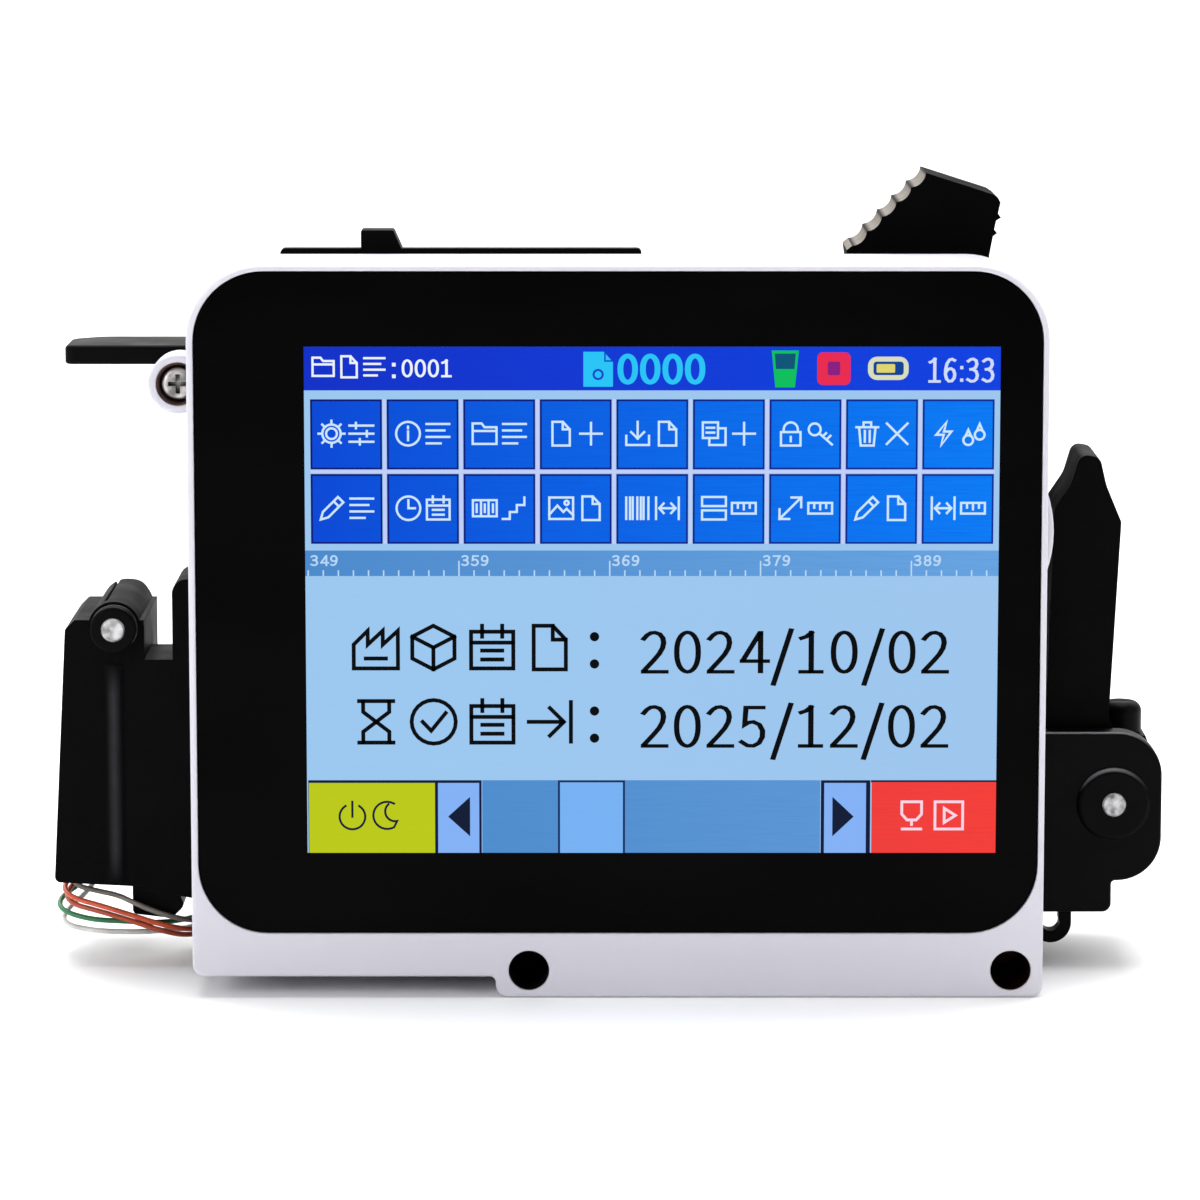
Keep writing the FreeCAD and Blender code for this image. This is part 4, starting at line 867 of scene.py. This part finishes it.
def battery_mark():
    tiles(2, "screen_battery_rim", display("screen_pale_yellow", linear(216, 222, 190)),
          (91.4, 1.6, 98.0, 5.4, 1.5))
    tiles(3, "screen_battery_well", display("screen_navy_well", linear(14, 66, 150)),
          (92.3, 2.4, 97.2, 4.6, 0.5))
    tiles(4, "screen_battery_charge", display("screen_charge", linear(222, 214, 110)),
          (92.8, 2.8, 95.8, 4.2, 0.2))


def clock():
    layer = Layer(2)
    layer.digits("16:33", 101.2, 1.8, 112.0, 5.8, 0.42, wide=1.25)
    layer.add("screen_clock", display("screen_soft_white", linear(206, 220, 250)))


def status_bar():
    tiles(1, "screen_status", display("screen_deep_blue", linear(14, 48, 200), linear(12, 66, 226)),
          (0, 0, PICTURE_WIDE, STATUS_BOTTOM))
    file_name()
    page_count()
    ink_level()
    stop_mark()
    battery_mark()
    clock()


def button_rows():
    edges, faces, marks, grid = Layer(1), Layer(2), Layer(3), Layer(1)
    upper, lower = BUTTON_ROWS
    near_rim, far_rim, beside_grid, above_grid = 0.32, 0.30, 0.12, 0.15
    shape_insets, shape_drop, shape_size = (1.25, 6.1), 3.4, 4.4
    for column in range(BUTTON_COLUMNS):
        left = BUTTON_LEFT + column * BUTTON_PITCH
        right = left + BUTTON_WIDE
        for row, top in enumerate(BUTTON_ROWS):
            bottom = top + BUTTON_HIGH
            edges.tile(left, top, right, bottom)
            faces.tile(left + near_rim, top + near_rim, right - far_rim, bottom - far_rim)
            for shape, inset in zip(BUTTON_SHAPES[row][column], shape_insets):
                marks.pictogram(shape, left + inset, top + shape_drop, shape_size, THIN_STROKE)
        if column < BUTTON_COLUMNS - 1:
            grid.tile(right + beside_grid, upper, left + BUTTON_PITCH - beside_grid, lower + BUTTON_HIGH)
    grid.tile(BUTTON_LEFT, upper + BUTTON_HIGH + above_grid, BUTTON_RIGHT, lower - above_grid)
    edges.add("screen_button_edges", display("screen_navy", linear(6, 18, 110), linear(8, 44, 150)))
    faces.add("screen_buttons", display("screen_button_blue", linear(2, 72, 214), linear(2, 124, 246)))
    marks.add("screen_button_marks", display("screen_mark_white", linear(204, 232, 252)))
    grid.add("screen_button_gaps", display("screen_pale_lilac", linear(196, 206, 250)))


def ruler():
    tiles(1, "screen_ruler", display("screen_ruler_blue", linear(76, 138, 204), linear(104, 164, 226)),
          (0, RULER_TOP, PICTURE_WIDE, RULER_BOTTOM))
    layer = Layer(2)
    ticks, first_tick, tick_wide, short_tick, long_tick = 46, 0.35, 0.24, 0.95, 2.5
    first_number, number_wide, number_top, number_bottom = 0.9, 4.4, 34.1, 35.8
    for index in range(ticks):
        left = first_tick + index * RULER_PITCH
        high = long_tick if index and index % 10 == 0 else short_tick
        layer.tile(left, RULER_BOTTOM - high, left + tick_wide, RULER_BOTTOM)
    for index, number in enumerate(range(349, 390, 10)):
        left = first_number + index * 10 * RULER_PITCH
        layer.digits(str(number), left, number_top, left + number_wide, number_bottom, 0.26, wide=1.2)
    layer.add("screen_ruler_marks", display("screen_ruler_white", linear(186, 216, 244)))


def printed_page():
    """Two lines of pictograms, a colon and a date, which are what the machine prints."""
    marks = Layer(1)
    shape_places, shape_size, colon_place, dot_radius = (7.3, 16.7, 26.3, 35.7), 8.2, 47.1, 0.78
    date_left, date_right = 54.7, 104.9
    for top, shapes, date in zip((45.2, 57.5), PAGE_SHAPES, ("2024/10/02", "2025/12/02")):
        for left, shape in zip(shape_places, shapes):
            marks.pictogram(shape, left, top, shape_size, BOLD_STROKE)
        for v in (top + 2.3, top + 6.8):
            marks.prism(ring(colon_place, v, dot_radius, steps=14)[:-1])
        marks.digits(date, date_left, top + 1.3, date_right, top + 8.4, 0.6, wide=1.5)
    marks.add("screen_page_marks", display("screen_ink", linear(2, 3, 5)))


def bottom_bar():
    """Sleep button, a slider between two arrows, and print button."""
    top, bottom = PAGE_BOTTOM, PICTURE_HIGH
    middle = (top + bottom) / 2
    tiles(1, "screen_trough", display("screen_trough_blue", linear(70, 136, 202), linear(98, 154, 216)),
          (28.7, top, 84.1, bottom))
    tiles(1, "screen_bar_edges", display("screen_bar_navy", linear(12, 24, 62)),
          (0.2, top, 28.6, bottom), (84.2, top, 92.3, bottom), (92.4, top, PICTURE_WIDE, top + 0.4))
    tiles(2, "screen_handle_edge", display("screen_handle_navy", linear(22, 44, 96)),
          (41.1, top, 52.1, bottom))
    tiles(2, "screen_arrow_boxes", display("screen_sky", linear(132, 178, 246)),
          (21.45, top + 0.45, 28.2, bottom), (84.75, top + 0.45, 91.6, bottom))
    tiles(3, "screen_handle", display("screen_handle_sky", linear(120, 178, 244)),
          (41.45, top + 0.35, 51.75, bottom))
    tiles(2, "screen_power_button", display("screen_lime", linear(188, 202, 24)),
          (0.3, top + 0.45, 20.95, bottom))
    tiles(2, "screen_run_button", display("screen_red", linear(214, 58, 66), linear(246, 62, 56)),
          (92.5, top + 0.3, PICTURE_WIDE, bottom))
    dark, pale = Layer(3), Layer(3)
    arrow, shape_size = 3.3, 5.4
    dark.prism([(23.1, middle), (26.7, middle + arrow), (26.7, middle - arrow)])
    dark.prism([(89.6, middle), (86.1, middle - arrow), (86.1, middle + arrow)])
    for layer, shape, left, width in ((dark, "power", 4.7, THIN_STROKE), (dark, "moon", 10.4, THIN_STROKE),
                                      (pale, "nozzle", 96.4, 0.44), (pale, "play", 102.5, 0.44)):
        layer.pictogram(shape, left, middle - 2.9, shape_size, width)
    dark.add("screen_bar_marks", display("screen_bar_ink", linear(14, 26, 52)))
    pale.add("screen_run_marks", display("screen_rose_white", linear(250, 214, 232)))


def picture():
    """Everything that the lit display shows."""
    tiles(0, "screen_field", display("screen_page_sky", linear(156, 200, 240), linear(158, 198, 238)),
          (0, 0, PICTURE_WIDE, PICTURE_HIGH))
    status_bar()
    button_rows()
    ruler()
    printed_page()
    bottom_bar()


# ------------------------------------------------------------------------------------- floor, light, camera

def floor():
    mesh = bpy.data.meshes.new("floor")
    sheet = bmesh.new()
    bmesh.ops.create_grid(sheet, x_segments=8, y_segments=8, size=9.0)
    sheet.to_mesh(mesh)
    sheet.free()
    finish = Finish("floor_paper")
    patches = finish.noise(3.0)
    finish.set(
        Base_Color=finish.mix(patches, (0.94, 0.94, 0.945, 1.0), (0.96, 0.96, 0.96, 1.0)),
        Roughness=finish.spread(patches, 0.3, 0.7, 0.6, 0.8),
        Normal=finish.bump(finish.noise(400.0), 0.00005),
    )
    add_object("floor", mesh, finish.material)


def softbox(name, place, aim, size, power):
    light = bpy.data.lights.new(name, "AREA")
    light.shape = "RECTANGLE"
    light.size, light.size_y = size
    light.energy = power
    lamp = bpy.data.objects.new(name, light)
    lamp.location = place
    lamp.rotation_euler = (Vector(aim) - Vector(place)).to_track_quat("-Z", "Y").to_euler()
    bpy.context.scene.collection.objects.link(lamp)


def studio_walls():
    """The room: dim behind the camera, bright above and behind the object."""
    world = bpy.data.worlds.new("studio")
    world.use_nodes = True
    nodes, links = world.node_tree.nodes, world.node_tree.links
    where = nodes.new("ShaderNodeSeparateXYZ")
    links.new(nodes.new("ShaderNodeTexCoord").outputs["Generated"], where.inputs[0])
    ramp = nodes.new("ShaderNodeMapRange")
    links.new(where.outputs["Y"], ramp.inputs["Value"])
    for name, number in {"From Min": -0.75, "From Max": 0.1, "To Min": 0.10, "To Max": 0.95}.items():
        ramp.inputs[name].default_value = number
    links.new(ramp.outputs["Result"], nodes["Background"].inputs["Strength"])
    nodes["Background"].inputs["Color"].default_value = (1.0, 1.0, 1.0, 1.0)
    bpy.context.scene.world = world


def lights():
    """Four soft lamps: place and aim, width and height in metres, power in watts."""
    softbox("key", (-0.8, -0.95, 0.5), LIT_MIDDLE, (0.5, 0.5), 6.5)
    softbox("fill", (0.9, -0.8, 0.5), LIT_MIDDLE, (0.5, 0.5), 2.6)
    softbox("top", (0.0, 0.1, 1.2), LIT_MIDDLE, (0.9, 0.6), 14.0)
    softbox("backdrop", (0.0, 3.4, 2.6), (0.0, 3.4, 0.0), (8.0, 5.0), 260.0)


def camera():
    lens = bpy.data.cameras.new("camera")
    lens.sensor_width = 36.0
    lens.lens = 162.0
    lens.clip_end = 60.0
    shot = bpy.data.objects.new("camera", lens)
    target = Vector(CAMERA_TARGET)
    rise = math.radians(CAMERA_RISE)
    shot.location = target + CAMERA_DISTANCE * Vector((0.0, -math.cos(rise), math.sin(rise)))
    shot.rotation_euler = (target - shot.location).to_track_quat("-Z", "Y").to_euler()
    bpy.context.scene.collection.objects.link(shot)
    bpy.context.scene.camera = shot


FINISHES = cad_finishes()
dress_cad_nodes(FINISHES)
all_leads(FINISHES)
linings()
picture()
floor()
studio_walls()
lights()
camera()
bpy.context.scene.view_settings.view_transform = "Standard"
